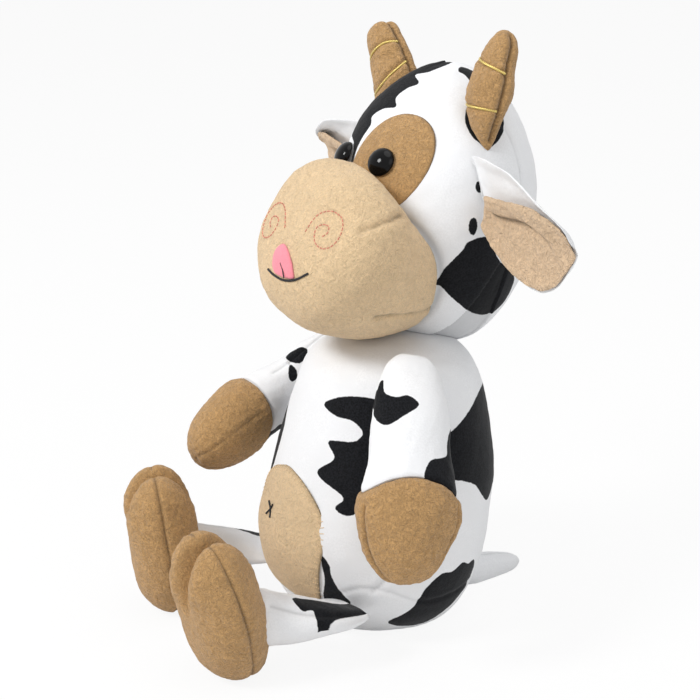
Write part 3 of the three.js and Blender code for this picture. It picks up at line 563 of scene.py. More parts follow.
TORSO = Form(
    [(0, lean * TORSO_LEAN, height * (TORSO_HEIGHT + 0.5) - 0.5) for height, lean in LEAN_SHARES],
    (1, 0, 0), TORSO_SHARES, TORSO_RADIUS, TORSO_RADIUS, (0, 0, 1),
)
HEAD = placed((0, TORSO_LEAN, TORSO_HEIGHT), ("Z", 14), ("Y", -4.5))
CRANIUM = Form(
    [
        (0, back * CRANIUM_RADIUS, CRANIUM_RISE + rise * CRANIUM_HALF_HEIGHT)
        for rise, back in CRANIUM_BACK_SHARES
    ],
    (1, 0, 0), CRANIUM_SHARES, CRANIUM_RADIUS, CRANIUM_RADIUS, (0, 0, 1),
)
PITCH = math.radians(MUZZLE_PITCH)
MUZZLE_TIP = np.array([0, -MUZZLE_FRONT, MUZZLE_RISE], float)
MUZZLE_BACK = np.array([0, math.cos(PITCH), math.sin(PITCH)])
MUZZLE = Form(
    [
        MUZZLE_TIP + MUZZLE_BACK * MUZZLE_LENGTH - np.array([0, 0, MUZZLE_SAG]),
        MUZZLE_TIP + MUZZLE_BACK * MUZZLE_LENGTH / 2 - np.array([0, 0, MUZZLE_SAG]),
        MUZZLE_TIP,
    ],
    (1, 0, 0), MUZZLE_SHARES, MUZZLE_HALF_WIDTH, MUZZLE_HALF_HEIGHT,
)
ARMS = {
    side: Form(
        [
            (out * ARM_HALF_DEPTH, back * ARM_HALF_WIDTH, SHOULDER_TOP - down * ARM_LENGTH[side])
            for out, back, down in ARM_SPINE[side]
        ],
        (0, 1, 0), ARM_SHARES[side], ARM_HALF_WIDTH, ARM_HALF_DEPTH,
    )
    for side, _ in SIDES
}
HORNS = {
    side: Form(
        [tuple(v * HORN_LENGTH for v in row) for row in HORN_SPINE],
        (1, 0, 0), HORN_SHARES[side], HORN_HALF_WIDTH, HORN_HALF_DEPTH,
    )
    for side, _ in SIDES
}


# Meshes


def new_object(name, data):
    """A new object, linked to the scene."""
    obj = bpy.data.objects.new(name, data)
    bpy.context.scene.collection.objects.link(obj)
    return obj


def ball(name, kind):
    """A round mesh that each stuffed piece is shaped from."""
    mesh = bpy.data.meshes.new(name)
    segments, rings = GRIDS[kind]
    bm = bmesh.new()
    bmesh.ops.create_uvsphere(bm, u_segments=segments, v_segments=rings, radius=1.0)
    bm.to_mesh(mesh)
    bm.free()
    mesh.shade_smooth()
    return new_object(name, mesh)


def corners(obj):
    """The mesh's points."""
    table = np.empty(len(obj.data.vertices) * 3)
    obj.data.vertices.foreach_get("co", table)
    return table.reshape(-1, 3)


def reshape(obj, points):
    """Puts the mesh's points somewhere else."""
    obj.data.vertices.foreach_set("co", np.ascontiguousarray(points, dtype=float).ravel())
    obj.data.update()


def facings(obj):
    """The way the skin faces at each of the mesh's points."""
    table = np.empty(len(obj.data.vertices) * 3)
    obj.data.vertices.foreach_get("normal", table)
    return table.reshape(-1, 3)


def ball_grid(obj):
    """Share from the bottom pole to the top one, and angle round, of a ball's points."""
    points = corners(obj)
    share = 1 - np.arccos(np.clip(points[:, 2], -1, 1)) / math.pi
    return share, np.arctan2(points[:, 1], points[:, 0])


def mark(obj, name, values):
    """Keeps a value at each point for the piece's material."""
    attribute = obj.data.attributes.new(name, "FLOAT", "POINT")
    attribute.data.foreach_set("value", np.ascontiguousarray(values, dtype=np.float32))


def paint_crease_shade(obj, values, add=True):
    """Paints shade into a piece's creases, adding to what is there or setting it anew."""
    crease_shade = obj.data.attributes["crease_shade"].data
    if add:
        table = np.empty(len(values), dtype=np.float32)
        crease_shade.foreach_get("value", table)
        values = np.maximum(table, values)
    crease_shade.foreach_set("value", values.astype(np.float32))


def distance_to(points, line):
    """Each point's distance to a line of points."""
    best = np.full(len(points), 1e9)
    for a, b in zip(line, line[1:]):
        step = b - a
        length = max(float(step @ step), 1e-9)
        share = np.clip((points - a) @ step / length, 0, 1)
        best = np.minimum(best, np.linalg.norm(points - a - share[:, None] * step, axis=1))
    return best


def distance_inside(spots, outline, reach=5.0):
    """How far inside a closed outline each flat spot lies, below zero outside it."""
    loop = curve_through(outline, steps=6, closed=True)
    low, high = loop.min(0) - reach, loop.max(0) + reach
    near = np.all((spots > low) & (spots < high), axis=1)
    values = np.full(len(spots), -reach)
    some = spots[near]
    gap = np.minimum(distance_to(some, loop), reach)
    inside = np.zeros(len(some), bool)
    for (ax, ay), (bx, by) in zip(loop, loop[1:]):
        crosses = (ay > some[:, 1]) != (by > some[:, 1])
        slope = (bx - ax) / (by - ay) if by != ay else 0.0
        inside ^= crosses & (some[:, 0] < ax + (some[:, 1] - ay) * slope)
    values[near] = np.where(inside, gap, -gap)
    return values


def patch_depth(spots, outlines, period=None):
    """How far inside the nearest black patch each spot lies."""
    depth = np.full(len(spots), -5.0)
    turns = (0,) if period is None else (-period, 0, period)
    for outline in outlines:
        for turn in turns:
            depth = np.maximum(depth, distance_inside(spots + np.array([turn, 0.0]), outline))
    return depth


def unevenness(points, size):
    """A gentle rise and fall over the cloth, between about -1 and 1, with waves of a size."""
    total = np.zeros(len(points))
    for i in range(7):
        turn = 2.399963 * i
        tilt = math.cos(1.7 * i + 0.4)
        across = math.sqrt(1 - tilt * tilt)
        direction = np.array([across * math.cos(turn), across * math.sin(turn), tilt])
        total += np.sin(points @ direction * (2 * math.pi / size) * (0.75 + 0.09 * i) + 1.3 * i)
    return total / 4


def grain(points, size):
    """A random rise and fall between -1 and 1 that changes from one spot of a size to the next."""
    cells = points / size
    low = np.floor(cells).astype(np.int64)
    share = cells - low
    share = share * share * (3 - 2 * share)
    total = np.zeros(len(points))
    for corner in range(8):
        step = np.array([corner & 1, corner >> 1 & 1, corner >> 2])
        place = (low + step) * np.array([73856093, 19349663, 83492791])
        mixed = place[:, 0] ^ place[:, 1] ^ place[:, 2]
        mixed = ((mixed ^ (mixed >> 13)) * 1274126177) & 0xFFFFFF
        total += np.prod(np.where(step, share, 1 - share), axis=1) * (mixed / 0x800000 - 1)
    return total


def finish_skin(obj, points, creases=(), lumps=0.5, lump_size=38.0, ripple=0.1, nap="pile"):
    """Gives a skin its lumps, nap and sewn creases, and marks painted shade along the creases for
    the material.
    """
    reshape(obj, points)
    rise = lumps * unevenness(points, lump_size) + ripple * unevenness(points, lump_size / 4)
    rise += NAP[nap] * (grain(points, 2.1) + 0.6 * grain(points, 3.7))
    # Painted shade along each sewn crease, which the material darkens.
    dark = np.zeros(len(points))
    for line, width, depth in creases:
        away = distance_to(points, np.array(line, float))
        rise += depth * (0.22 * bell(away, 2.6 * width, 1.5 * width) - bell(away, 0, width))
        dark = np.maximum(dark, bell(away, 0, 0.55 * width) * min(1, abs(depth)))
    reshape(obj, points + facings(obj) * rise[:, None])
    mark(obj, "crease_shade", dark)


def settle(obj, matrix, mirror=False):
    """Turns a piece from its own millimetres to its place on the toy in metres."""
    points = corners(obj)
    if mirror:
        points = points * MIRROR
        obj.data.flip_normals()
    reshape(obj, carry(points, matrix) * MM)


def dress(obj, material, body, nodes=(), bend=None):
    """Gives a finished piece its cloth, its body and the nodes it stands for."""
    obj.data.materials.clear()
    obj.data.materials.append(material)
    if bend is None:
        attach(obj, body)
    else:
        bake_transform(obj)
    if nodes:
        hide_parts(*nodes)


def hits(names, spots, start, direction):
    """The first skin that each ray meets among some pieces, and the way it faces there."""
    bpy.context.view_layer.update()
    direction = np.array(direction, float)
    found = []
    for spot in spots:
        best = None
        for name in names:
            piece = bpy.data.objects[name]
            ok, place, facing, _ = piece.ray_cast(np.array(start) + spot, direction)
            if ok and (best is None or direction @ np.array(place) < direction @ best[0]):
                best = (np.array(place), np.array(facing))
        if best is None:
            raise RuntimeError(f"{names}: no skin at {spot}")
        found.append(best)
    return found


def thread(name, lines, radius, resolution=2):
    """Threads along lines of points, as one closed mesh."""
    curve = bpy.data.curves.new(name, "CURVE")
    curve.dimensions = "3D"
    curve.bevel_depth = radius
    curve.bevel_resolution = resolution
    curve.use_fill_caps = True
    for line in lines:
        spline = curve.splines.new("POLY")
        spline.points.add(len(line) - 1)
        for spot, place in zip(spline.points, line):
            spot.co = (*place, 1.0)
    made = new_object(name, curve)
    bpy.context.view_layer.update()
    mesh = bpy.data.meshes.new_from_object(made)
    mesh.name = name
    bpy.data.objects.remove(made)
    mesh.shade_smooth()
    return new_object(name, mesh)


# Materials


class Nodes:
    """Adds nodes to one material and joins them."""

    def __init__(self, name):
        self.material = bpy.data.materials.new(name)
        self.material.use_nodes = True
        self.tree = self.material.node_tree
        self.shader = self.tree.nodes["Principled BSDF"]
        self.place = self.add("ShaderNodeTexCoord").outputs["Object"]

    def add(self, kind, **settings):
        node = self.tree.nodes.new(kind)
        for key, value in settings.items():
            setattr(node, key, value)
        return node

    def join(self, source, target):
        self.tree.links.new(source, target)

    def noise(self, size, detail=2.0, rough=0.5, distortion=0.0, vector=None):
        node = self.add("ShaderNodeTexNoise")
        node.inputs["Scale"].default_value = 1 / (size * MM)
        node.inputs["Detail"].default_value = detail
        node.inputs["Roughness"].default_value = rough
        node.inputs["Distortion"].default_value = distortion
        self.join(vector or self.place, node.inputs["Vector"])
        return node.outputs["Fac"]

    def attribute(self, name):
        return self.add("ShaderNodeAttribute", attribute_name=name).outputs["Fac"]

    def maths(self, operation, first, second):
        node = self.add("ShaderNodeMath", operation=operation)
        for socket, value in zip(node.inputs, (first, second)):
            if isinstance(value, (int, float)):
                socket.default_value = value
            else:
                self.join(value, socket)
        return node.outputs[0]

    def spread(self, value, low, high, out_low=0.0, out_high=1.0):
        node = self.add("ShaderNodeMapRange", interpolation_type="SMOOTHSTEP")
        for socket, number in zip(list(node.inputs)[1:5], (low, high, out_low, out_high)):
            socket.default_value = number
        self.join(value, node.inputs[0])
        return node.outputs[0]

    def blend(self, factor, first, second, mode="MIX"):
        node = self.add("ShaderNodeMix", data_type="RGBA", blend_type=mode)
        if isinstance(factor, (int, float)):
            node.inputs["Factor"].default_value = factor
        else:
            self.join(factor, node.inputs["Factor"])
        for socket, value in zip((node.inputs[6], node.inputs[7]), (first, second)):
            if isinstance(value, tuple):
                socket.default_value = (*value[:3], 1.0)
            else:
                self.join(value, socket)
        return node.outputs[2]

    def bump(self, height, strength, distance, under=None):
        node = self.add("ShaderNodeBump")
        node.inputs["Strength"].default_value = strength
        node.inputs["Distance"].default_value = distance * MM
        self.join(height, node.inputs["Height"])
        if under is not None:
            self.join(under, node.inputs["Normal"])
        return node.outputs["Normal"]

    def close(self, colour, normal, roughness, sheen=0.0, metallic=0.0, specular=0.5):
        self.join(colour, self.shader.inputs["Base Color"])
        if normal is not None:
            self.join(normal, self.shader.inputs["Normal"])
        self.shader.inputs["Roughness"].default_value = roughness
        self.shader.inputs["Metallic"].default_value = metallic
        self.shader.inputs["Specular IOR Level"].default_value = specular
        self.shader.inputs["Sheen Weight"].default_value = sheen
        self.shader.inputs["Sheen Roughness"].default_value = 0.45
        return self.material


def scaled(colour, share):
    """A lighter or darker shade of a colour."""
    return tuple(min(1.0, part * share) for part in colour[:3])


def short_pile(colours):
    """Short brushed pile, white with black patches where a piece is marked, and painted shade in
    its creases.
    """
    made = Nodes("short_pile_cloth")
    nap = made.noise(0.9, 3.0, 0.62)
    brushed = made.noise(14.0, 2.0, 0.5, 0.4)
    fringe = made.spread(made.noise(1.4), 0.2, 0.8, -0.14, 0.14)
    edge = made.maths("ADD", made.attribute("patch"), fringe)
    black = made.spread(edge, -0.22, 0.22)
    tufts = made.spread(nap, 0.3, 0.7)
    white = made.blend(tufts, scaled(colours.white, 0.93), tuple(colours.white))
    white = made.blend(made.spread(brushed, 0.35, 0.65), scaled(colours.white, 0.955), white)
    flecks = made.spread(nap, 0.35, 0.65)
    dark = made.blend(flecks, scaled(colours.black, 0.6), scaled(colours.black, 1.5))
    cloth = made.blend(black, white, dark)
    # Painted shade: darkens the cloth where the piece marks crease shade.
    painted_crease_shade = made.maths("MULTIPLY", made.attribute("crease_shade"), 0.55)
    cloth = made.blend(painted_crease_shade, cloth, made.blend(0.5, cloth, scaled(colours.black, 2.2), "MULTIPLY"))
    normal = made.bump(brushed, 0.25, 0.5, made.bump(nap, 0.45, 0.32))
    return made.close(cloth, normal, 0.95, sheen=0.12, specular=0.12)


def curly_fleece(name, colour, curl=1.15, depth=0.55, contrast=1.0):
    """Fleece with a fine curly nap in lighter and darker flecks, and painted shade in its creases.
    """
    made = Nodes(name)
    curls = made.noise(curl, 4.0, 0.7, 1.8)
    clumps = made.noise(curl * 2.5, 2.0, 0.6, 1.2)
    drift = made.noise(17.0, 2.0)
    low, high = 1 - 0.36 * contrast, 1 + 0.2 * contrast
    cloth = made.blend(made.spread(curls, 0.34, 0.64), scaled(colour, low), scaled(colour, high))
    shaded = made.blend(0.4 * contrast, cloth, scaled(colour, 0.66))
    cloth = made.blend(made.spread(clumps, 0.34, 0.62), shaded, cloth)
    worn = made.blend(0.25, cloth, scaled(colour, 0.84))
    cloth = made.blend(made.spread(drift, 0.3, 0.7), worn, cloth)
    # Painted shade: darkens the fleece where the piece marks crease shade.
    painted_crease_shade = made.maths("MULTIPLY", made.attribute("crease_shade"), 0.75)
    cloth = made.blend(painted_crease_shade, cloth, scaled(colour, 0.22))
    normal = made.bump(clumps, 0.8, 1.5, made.bump(curls, 1.0, depth))
    return made.close(cloth, normal, 0.96, sheen=0.25, specular=0.12)


def twisted_thread(name, colour, strand=0.5, roughness=0.6, metallic=0.0):
    """Embroidery thread with a fine twist."""
    made = Nodes(name)
    wave = made.add("ShaderNodeTexWave", wave_type="BANDS", bands_direction="DIAGONAL")
    wave.inputs["Scale"].default_value = 1 / (strand * 4 * MM)
    wave.inputs["Distortion"].default_value = 1.5
    made.join(made.place, wave.inputs["Vector"])
    strands = wave.outputs["Fac"]
    cloth = made.blend(strands, scaled(colour, 0.55), scaled(colour, 1.15))
    normal = made.bump(strands, 0.6, 0.15)
    return made.close(cloth, normal, roughness, metallic=metallic, specular=0.4)


def pressed_felt(name, colour):
    """Thin felt with short matted fibres."""
    made = Nodes(name)
    fibres = made.noise(0.7, 4.0, 0.7, 2.2)
    cloth = made.blend(made.spread(fibres, 0.3, 0.7), scaled(colour, 0.85), scaled(colour, 1.1))
    return made.close(cloth, made.bump(fibres, 0.5, 0.2), 0.9, sheen=0.3, specular=0.2)


def polished_plastic(name, colour, roughness, smear=0.05, specular=0.6):
    """Moulded plastic with a faint unevenness in its shine."""
    made = Nodes(name)
    wear = made.noise(3.0, 3.0, 0.6)
    cloth = made.blend(made.spread(wear, 0.4, 0.7), tuple(colour), scaled(colour, 1.25))
    normal = made.bump(wear, smear, 0.05)
    return made.close(cloth, normal, roughness, specular=specular)


CLOTHS = {}


def cloth(name):
    """One of the toy's materials, made when it is first asked for."""
    colours = bpy.context.scene.cow_colours
    makers = {
        "pile": lambda: short_pile(colours),
        "tan": lambda: curly_fleece("tan_fleece", colours.tan, 1.5, 1.0, 0.9),
        "pale": lambda: curly_fleece("pale_fleece", colours.pale_tan, 1.3, 0.85, 0.5),
        "lining": lambda: curly_fleece("lining_fleece", colours.lining, 2.0, 1.2, 0.5),
        "tongue": lambda: pressed_felt("tongue_felt", colours.tongue),
        "mouth": lambda: twisted_thread("mouth_thread", colours.mouth_thread),
        "nose": lambda: twisted_thread("nose_thread", colours.nose_thread),
        "seam": lambda: twisted_thread("seam_thread", colours.pale_tan),
        "gold": lambda: twisted_thread("gold_thread", colours.gold, 0.45, 0.32, 0.55),
        "eye": lambda: polished_plastic("eye_plastic", colours.eye, 0.07, 0.05, 0.16),
        "washer": lambda: polished_plastic("washer_plastic", colours.washer, 0.45),
        "filling": lambda: pressed_felt("loose_filling", colours.washer),
    }
    if name not in CLOTHS:
        CLOTHS[name] = makers[name]()
    return CLOTHS[name]


# Settings


def colour_setting(name, description, code):
    """A colour setting that starts at a colour code."""
    return FloatVectorProperty(
        name=name, description=description, subtype="COLOR", default=tint(code)
    )


def length_setting(name, description, start):
    """A length setting in metres."""
    return FloatProperty(name=name, description=description, unit="LENGTH", default=start)


class CowColours(PropertyGroup):
    """Colours of the cloths and threads."""

    white: colour_setting("White pile", "Brushed white cloth", "EDEEF0")
    black: colour_setting("Black patches", "Dark patches of the pile", "17181B")
    tan: colour_setting("Tan fleece", "Horns, mitts, feet and eye patch", "C69D6A")
    pale_tan: colour_setting("Pale fleece", "Muzzle and belly", "EDCFA5")
    lining: colour_setting("Ear lining", "Curly lining of the ears", "E4C6A4")
    tongue: colour_setting("Tongue felt", "Pink felt", "F0909C")
    mouth_thread: colour_setting("Mouth thread", "Mouth line and navel", "222226")
    nose_thread: colour_setting("Nostril thread", "Nostril stitches", "E0907C")
    gold: colour_setting("Gold thread", "Bands round the horns", "E2C877")
    eye: colour_setting("Eyes", "Glossy eye plastic", "050506")
    washer: colour_setting("Washers", "Plastic washers behind the eyes", "E9E9E4")


class CowSizes(PropertyGroup):
    """Depths and thicknesses of the sewing."""

    seam_depth: length_setting("Seam depth", "How far a seam pulls the cloth in", 0.0011)
    lump_height: length_setting("Lump height", "How uneven the filling is", 0.0006)
    thread_radius: length_setting("Thread radius", "Half the thickness of the threads", 0.00055)
    panel_thickness: length_setting("Panel thickness", "Thickness of the sewn-on panels", 0.0013)


def sizes():
    """The sewing sizes in millimetres."""
    held = bpy.context.scene.cow_sizes
    return {name: getattr(held, name) / MM for name in CowSizes.__annotations__}


# Pieces


def torso_spots(points):
    """Distance round and height of points on the torso."""
    lean = TORSO_LEAN * np.interp(points[:, 2] / TORSO_HEIGHT, *np.array(LEAN_SHARES).T)
    bearing = np.arctan2(points[:, 0], -(points[:, 1] - lean))
    return np.stack([bearing * TORSO_RADIUS, points[:, 2]], axis=1)


def on_torso(distance, height):
    """The torso's skin at a distance round and a height."""
    angle = distance / TORSO_RADIUS - math.pi / 2
    return TORSO.surface(np.atleast_1d(TORSO.at(height)), np.atleast_1d(angle))[0]


def build_torso():
    """The pear-shaped body with its seat seam and side seams."""
    obj = ball("torso_cloth", "torso")
    share, angle = ball_grid(obj)
    points = TORSO.surface(share, angle)
    seat = [on_torso(d, 24 + 14 * bell(d, 60, 24)) for d in np.linspace(30, 160, 40)]
    back = [on_torso(190, h) for h in np.linspace(6, 150, 40)]
    dart = [on_torso(d, h) for d, h in ((62, 36), (70, 44), (76, 52))]
    seam = sizes()["seam_depth"]
    creases = [(seat, 1.2, 0.5 * seam), (back, 1.3, seam), (dart, 1.6, 0.8)]
    finish_skin(obj, points, creases, sizes()["lump_height"] * 1.2, 46.0)
    mark(obj, "patch", patch_depth(torso_spots(points), TORSO_PATCHES, 2 * math.pi * TORSO_RADIUS))
    settle(obj, np.eye(4))
    dress(obj, cloth("pile"), "torso", ("torso_shell", "torso_stuffing"))


def disc_grid(obj):
    """Spread from the middle, angle round, and side of a flattened ball's points."""
    points = corners(obj)
    tilt = np.arccos(np.clip(np.abs(points[:, 2]), 0, 1)) / (math.pi / 2)
    return tilt, np.arctan2(points[:, 1], points[:, 0]), np.where(points[:, 2] >= -1e-6, 1.0, 0.0)


def panel_height(spread, top, thickness, crown=0.0):
    """How far a sewn-on panel's skin stands off what it lies on."""
    edge = np.sqrt(np.clip(1 - spread**8, 0, 1))
    return np.where(top > 0.5, 0.25 + thickness * edge + crown * (1 - spread**2), 0.12)


def within_rim(rim, spread, angle):
    """Flat spots a share of the way from the middle to a closed rim that runs leftwards round."""
    order = np.unwrap(np.arctan2(rim[:, 1], rim[:, 0]))
    where = order[0] + np.mod(angle - order[0], 2 * math.pi)
    return columns(where, order, rim) * spread[:, None]


def build_belly():
    """The pale belly panel with pinched stitches round its edge."""
    obj = ball("belly_panel", "belly")
    spread, angle, top = disc_grid(obj)
    middle, half = (BELLY_TOP + BELLY_BOTTOM) / 2, (BELLY_TOP - BELLY_BOTTOM) / 2
    right = [(a * BELLY_HALF_WIDTH, r * half) for a, r in BELLY_SHARES]
    rim = curve_through(right + [(-a, r) for a, r in right[-2:0:-1]], 12, closed=True)[::-1]
    flat = within_rim(rim, spread, angle)
    height = middle + flat[:, 1]
    centre, _, _, radius, _ = TORSO.ring(TORSO.at(height))
    across = flat[:, 0]
    outward = np.stack([across, -np.sqrt(np.maximum(radius**2 - across**2, 1)), 0 * across], axis=1)
    skin = outward + np.stack([0 * height, centre[:, 1], height], axis=1)
    stand = panel_height(spread, top, sizes()["panel_thickness"], 0.7)
    points = skin + unit(outward) * stand[:, None]
    navel = np.array([[NAVEL[0], -TORSO_RADIUS + 0.5, NAVEL[1]]] * 2)
    rise = 0.5 * unevenness(points, 30) + NAP["belly"] * grain(points, 2.4)
    rise -= bell(distance_to(points, navel), 0, 4)
    reshape(obj, points + unit(outward) * (rise * top)[:, None])
    # Painted shade round the panel's rim, where it meets the torso.
    mark(obj, "crease_shade", 0.6 * top * bell(spread, 1, 0.03))
    settle(obj, np.eye(4))
    dress(obj, cloth("pale"), "torso", ("belly_patch",))
    belly_stitches(rim, middle)
    navel_stitches()


def belly_stitches(rim, middle):
    """Short stitches over the panel's edge, one every three millimetres."""
    run, length = run_along(rim)
    lines = []
    for share in np.linspace(0, 1, int(length / BELLY_STITCH_STEP), endpoint=False):
        x, z = columns(share, run, rim)
        if z < BELLY_STITCH_LOWEST:
            continue
        ahead = columns((share + 0.004) % 1, run, rim) - np.array([x, z])
        normal = unit(np.array([ahead[1], -ahead[0]]))
        across = np.array([normal[0], 0, normal[1]])
        spots = [(np.array([x, 0, z + middle]) + across * t) * MM for t in BELLY_STITCH_SPOTS]
        found = hits(("torso_cloth", "belly_panel"), spots, (0, -0.2, 0), (0, 1, 0))
        lines.append([place + facing * 0.12 * MM for place, facing in found])
    obj = thread("belly_edge_stitches", lines, THREAD_RADII["belly"] * MM, resolution=1)
    dress(obj, cloth("seam"), "torso")


def navel_stitches():
    """A small crossed stitch that pulls the belly in."""
    lines = []
    (x, z), (wide, tall) = NAVEL, NAVEL_HALF_SIZE
    steps = np.linspace(-1, 1, 7)
    for slope in (-1, 1):
        spots = [np.array([x + wide * t, 0, z + tall * slope * t]) * MM for t in steps]
        found = hits(("belly_panel",), spots, (0, -0.2, 0), (0, 1, 0))
        lines.append([place + facing * 0.4 * MM for place, facing in found])
    obj = thread("navel_cross", lines, THREAD_RADII["navel"] * MM)
    dress(obj, cloth("mouth"), "torso", ("navel_stitch",))


def head_ring(height):
    """How far back the head's middle is at a height, and its radius there."""
    centre, _, _, radius, _ = CRANIUM.ring(CRANIUM.at(height))
    return centre[..., 1], radius


def head_spots(points):
    """Distance round and height of points on the head."""
    bearing = np.arctan2(points[:, 0], -(points[:, 1] - head_ring(points[:, 2])[0]))
    return np.stack([bearing * CRANIUM_RADIUS, points[:, 2]], axis=1)


def crown_spots(bearing, height):
    """Flat spots round the top of the head."""
    run = (1 - CRANIUM.at(height)) * 208
    return np.stack([run * np.sin(bearing), -run * np.cos(bearing)], axis=-1)


def build_head():
    """The head's white and black skin, which sits on the torso's dome."""
    obj = ball("head_cloth", "head")
    share, angle = ball_grid(obj)
    local = CRANIUM.surface(share, angle)
    spots = head_spots(local)
    bearing = spots[:, 0] / CRANIUM_RADIUS
    outlines = [[tuple(crown_spots(math.radians(b), h)) for b, h in line] for line in CROWN_PATCHES]
    depth = patch_depth(crown_spots(bearing, local[:, 2]), outlines)
    depth = np.maximum(depth, patch_depth(spots, HEAD_PATCHES, 2 * math.pi * CRANIUM_RADIUS))
    middle = seam_of(CRANIUM, 90, 0.04, 0.99, 60)
    temple = [surface_of_head(*spot) for spot in TEMPLE_SEAM]
    creases = [(middle, 1.2, sizes()["seam_depth"]), (temple, 1.1, 0.6 * sizes()["seam_depth"])]
    bulge = CROWN_BULGE * bell(np.degrees(bearing), -46, 27) * bell(local[:, 2], 112, 17)
    bulged = local + unit(local - np.array([0, 35, 62])) * bulge[:, None]
    finish_skin(obj, bulged, creases, sizes()["lump_height"], 44.0)
    near = bell(MUZZLE.clearance(local + muzzle_pull(local)), 0, 2.6) * (local[:, 1] < 40)
    points = corners(obj) - facings(obj) * (1.2 * near)[:, None]
    # Painted shade on the head's skin where the muzzle meets it; the skin is also pulled in there.
    paint_crease_shade(obj, near**2)
    points = bring_back(TORSO.push_out(carry(points, HEAD), 0.35), HEAD)
    reshape(obj, points)
    mark(obj, "patch", depth)
    settle(obj, HEAD)
    dress(obj, cloth("pile"), "head", ("head_shell", "head_stuffing"))


def surface_of_head(bearing, height):
    """A point of the head's skin at a bearing in degrees and a height."""
    share = np.atleast_1d(CRANIUM.at(height))
    return CRANIUM.surface(share, np.array([math.radians(bearing - 90)]))[0]


def muzzle_pull(points):
    """How far the muzzle is drawn in under the eyes, and let out at its far side, round points."""
    along = (points - MUZZLE_TIP) @ MUZZLE_BACK
    share = np.interp((MUZZLE_LENGTH - along) / MUZZLE_LENGTH, MUZZLE.level, MUZZLE.share)
    centre = MUZZLE.ring(share)[0]
    outward = points - centre
    outward = outward - (outward @ MUZZLE_BACK)[:, None] * MUZZLE_BACK
    bearing = np.degrees(np.arctan2(outward[:, 2], outward[:, 0]))
    under_eye = bell(np.abs(bearing - 90), 30, 27) * smooth_step(along, 20, 52)
    far_side = bell(bearing, 122, 26) * smooth_step(along, 1, 14) * (1 - smooth_step(along, 30, 52))
    return unit(outward) * (UNDER_EYE_PULL * under_eye - FAR_SIDE_SWELL * far_side)[:, None]


def build_muzzle():
    """The big pale muzzle, a pad that is sewn on the front of the head."""
    obj = ball("muzzle_pad", "muzzle")
    share, angle = ball_grid(obj)
    local = MUZZLE.surface(share, angle)
    local = local - muzzle_pull(local)
    mirrored = [([(-x, y, z) for x, y, z in line], w, d) for line, w, d in MUZZLE_DARTS]
    creases = [*MUZZLE_DARTS, MOUTH_DIMPLE, *mirrored]
    finish_skin(obj, local, creases, sizes()["lump_height"], 34.0, nap="muzzle")
    tuck = bell(np.maximum(CRANIUM.clearance(corners(obj)), 0), 0, 3.2)
    reshape(obj, corners(obj) - facings(obj) * (1.5 * tuck)[:, None])
    points = CRANIUM.slide_out(corners(obj), 0.3, -MUZZLE_BACK)
    reshape(obj, points)
    # Painted shade where the muzzle meets the head's skin.
    paint_crease_shade(obj, bell(CRANIUM.clearance(points), 0, 1.6))
    settle(obj, HEAD)
    dress(obj, cloth("pale"), "head", ("muzzle",))


def on_muzzle(spots):
    """Places and facings on the muzzle's front, in metres, under spots given across and up."""
    direction = HEAD[:3, :3] @ np.array([0.0, 1.0, 0.0])
    starts = [carry(np.array([[x, -120.0, z]]), HEAD)[0] * MM for x, z in spots]
    return hits(("muzzle_pad",), starts, (0, 0, 0), direction)


def sewn_line(spots, lift):
    """A line of thread that lies on the muzzle."""
    return [place + facing * lift * MM for place, facing in on_muzzle(spots)]


def build_face():
    """Nostril stitches, mouth line and tongue on the muzzle."""
    radius = sizes()["thread_radius"] * MM
    path = curve_through(NOSTRIL, 20)
    run, length = run_along(path)
    for side, sign in SIDES:
        lines = []
        for start in np.arange(0, length - NOSTRIL_END, NOSTRIL_STEP):
            shares = (start + np.linspace(0, NOSTRIL_STITCH, 4)) / length
            flat = columns(shares, run, path) + np.array([NOSTRIL_SHIFT[side], 0])
            lines.append(sewn_line(flat * np.array([sign, 1]), 0.1))
        obj = thread(f"nostril_stitches_{side}", lines, 0.55 * radius)
        dress(obj, cloth("nose"), "head", (f"nostril_stitch_{side}",))
    obj = thread("mouth_line", [sewn_line(curve_through(MOUTH, 8), 0.35)], 1.05 * radius)
    dress(obj, cloth("mouth"), "head", ("mouth_stitch",))
    build_tongue()


def build_tongue():
    """The felt tongue with a stitch down its middle."""
    obj = ball("tongue_felt", "tongue")
    spread, angle, top = disc_grid(obj)
    middle = np.array(TONGUE_MIDDLE)
    rim = curve_through(TONGUE_OUTLINE, 8, closed=True) - middle
    flat = within_rim(rim, spread, angle) + middle
    stand = panel_height(spread, top, 1.0, 0.8) * MM
    places, facings_there = (np.array(rows) for rows in zip(*on_muzzle(flat)))
    points = places + facings_there * stand[:, None]
    reshape(obj, points)
    # Painted shade round the tongue's rim; the felt material does not read it.
    mark(obj, "crease_shade", 0.6 * bell(spread, 1, 0.06))
    dress(obj, cloth("tongue"), "head", ("tongue",))
    obj = thread("tongue_stitch", [sewn_line(TONGUE_STITCH, 2.0)], THREAD_RADII["tongue"] * MM)
    dress(obj, cloth("mouth"), "head")


def front_of_head(across, rise):
    """The front of the head's skin, and the way it faces, under spots given across and up."""
    across, rise = np.atleast_1d(across), np.atleast_1d(rise)

    def depth_at(x, z):
        back, radius = head_ring(z)
        return back - np.sqrt(np.maximum(radius**2 - x**2, 1.0))

    step = 0.5
    slope_x = (depth_at(across + step, rise) - depth_at(across - step, rise)) / (2 * step)
    slope_z = (depth_at(across, rise + step) - depth_at(across, rise - step)) / (2 * step)
    facing = unit(np.stack([slope_x, -np.ones_like(slope_x), slope_z], axis=1))
    return np.stack([across, depth_at(across, rise), rise], axis=1), facing


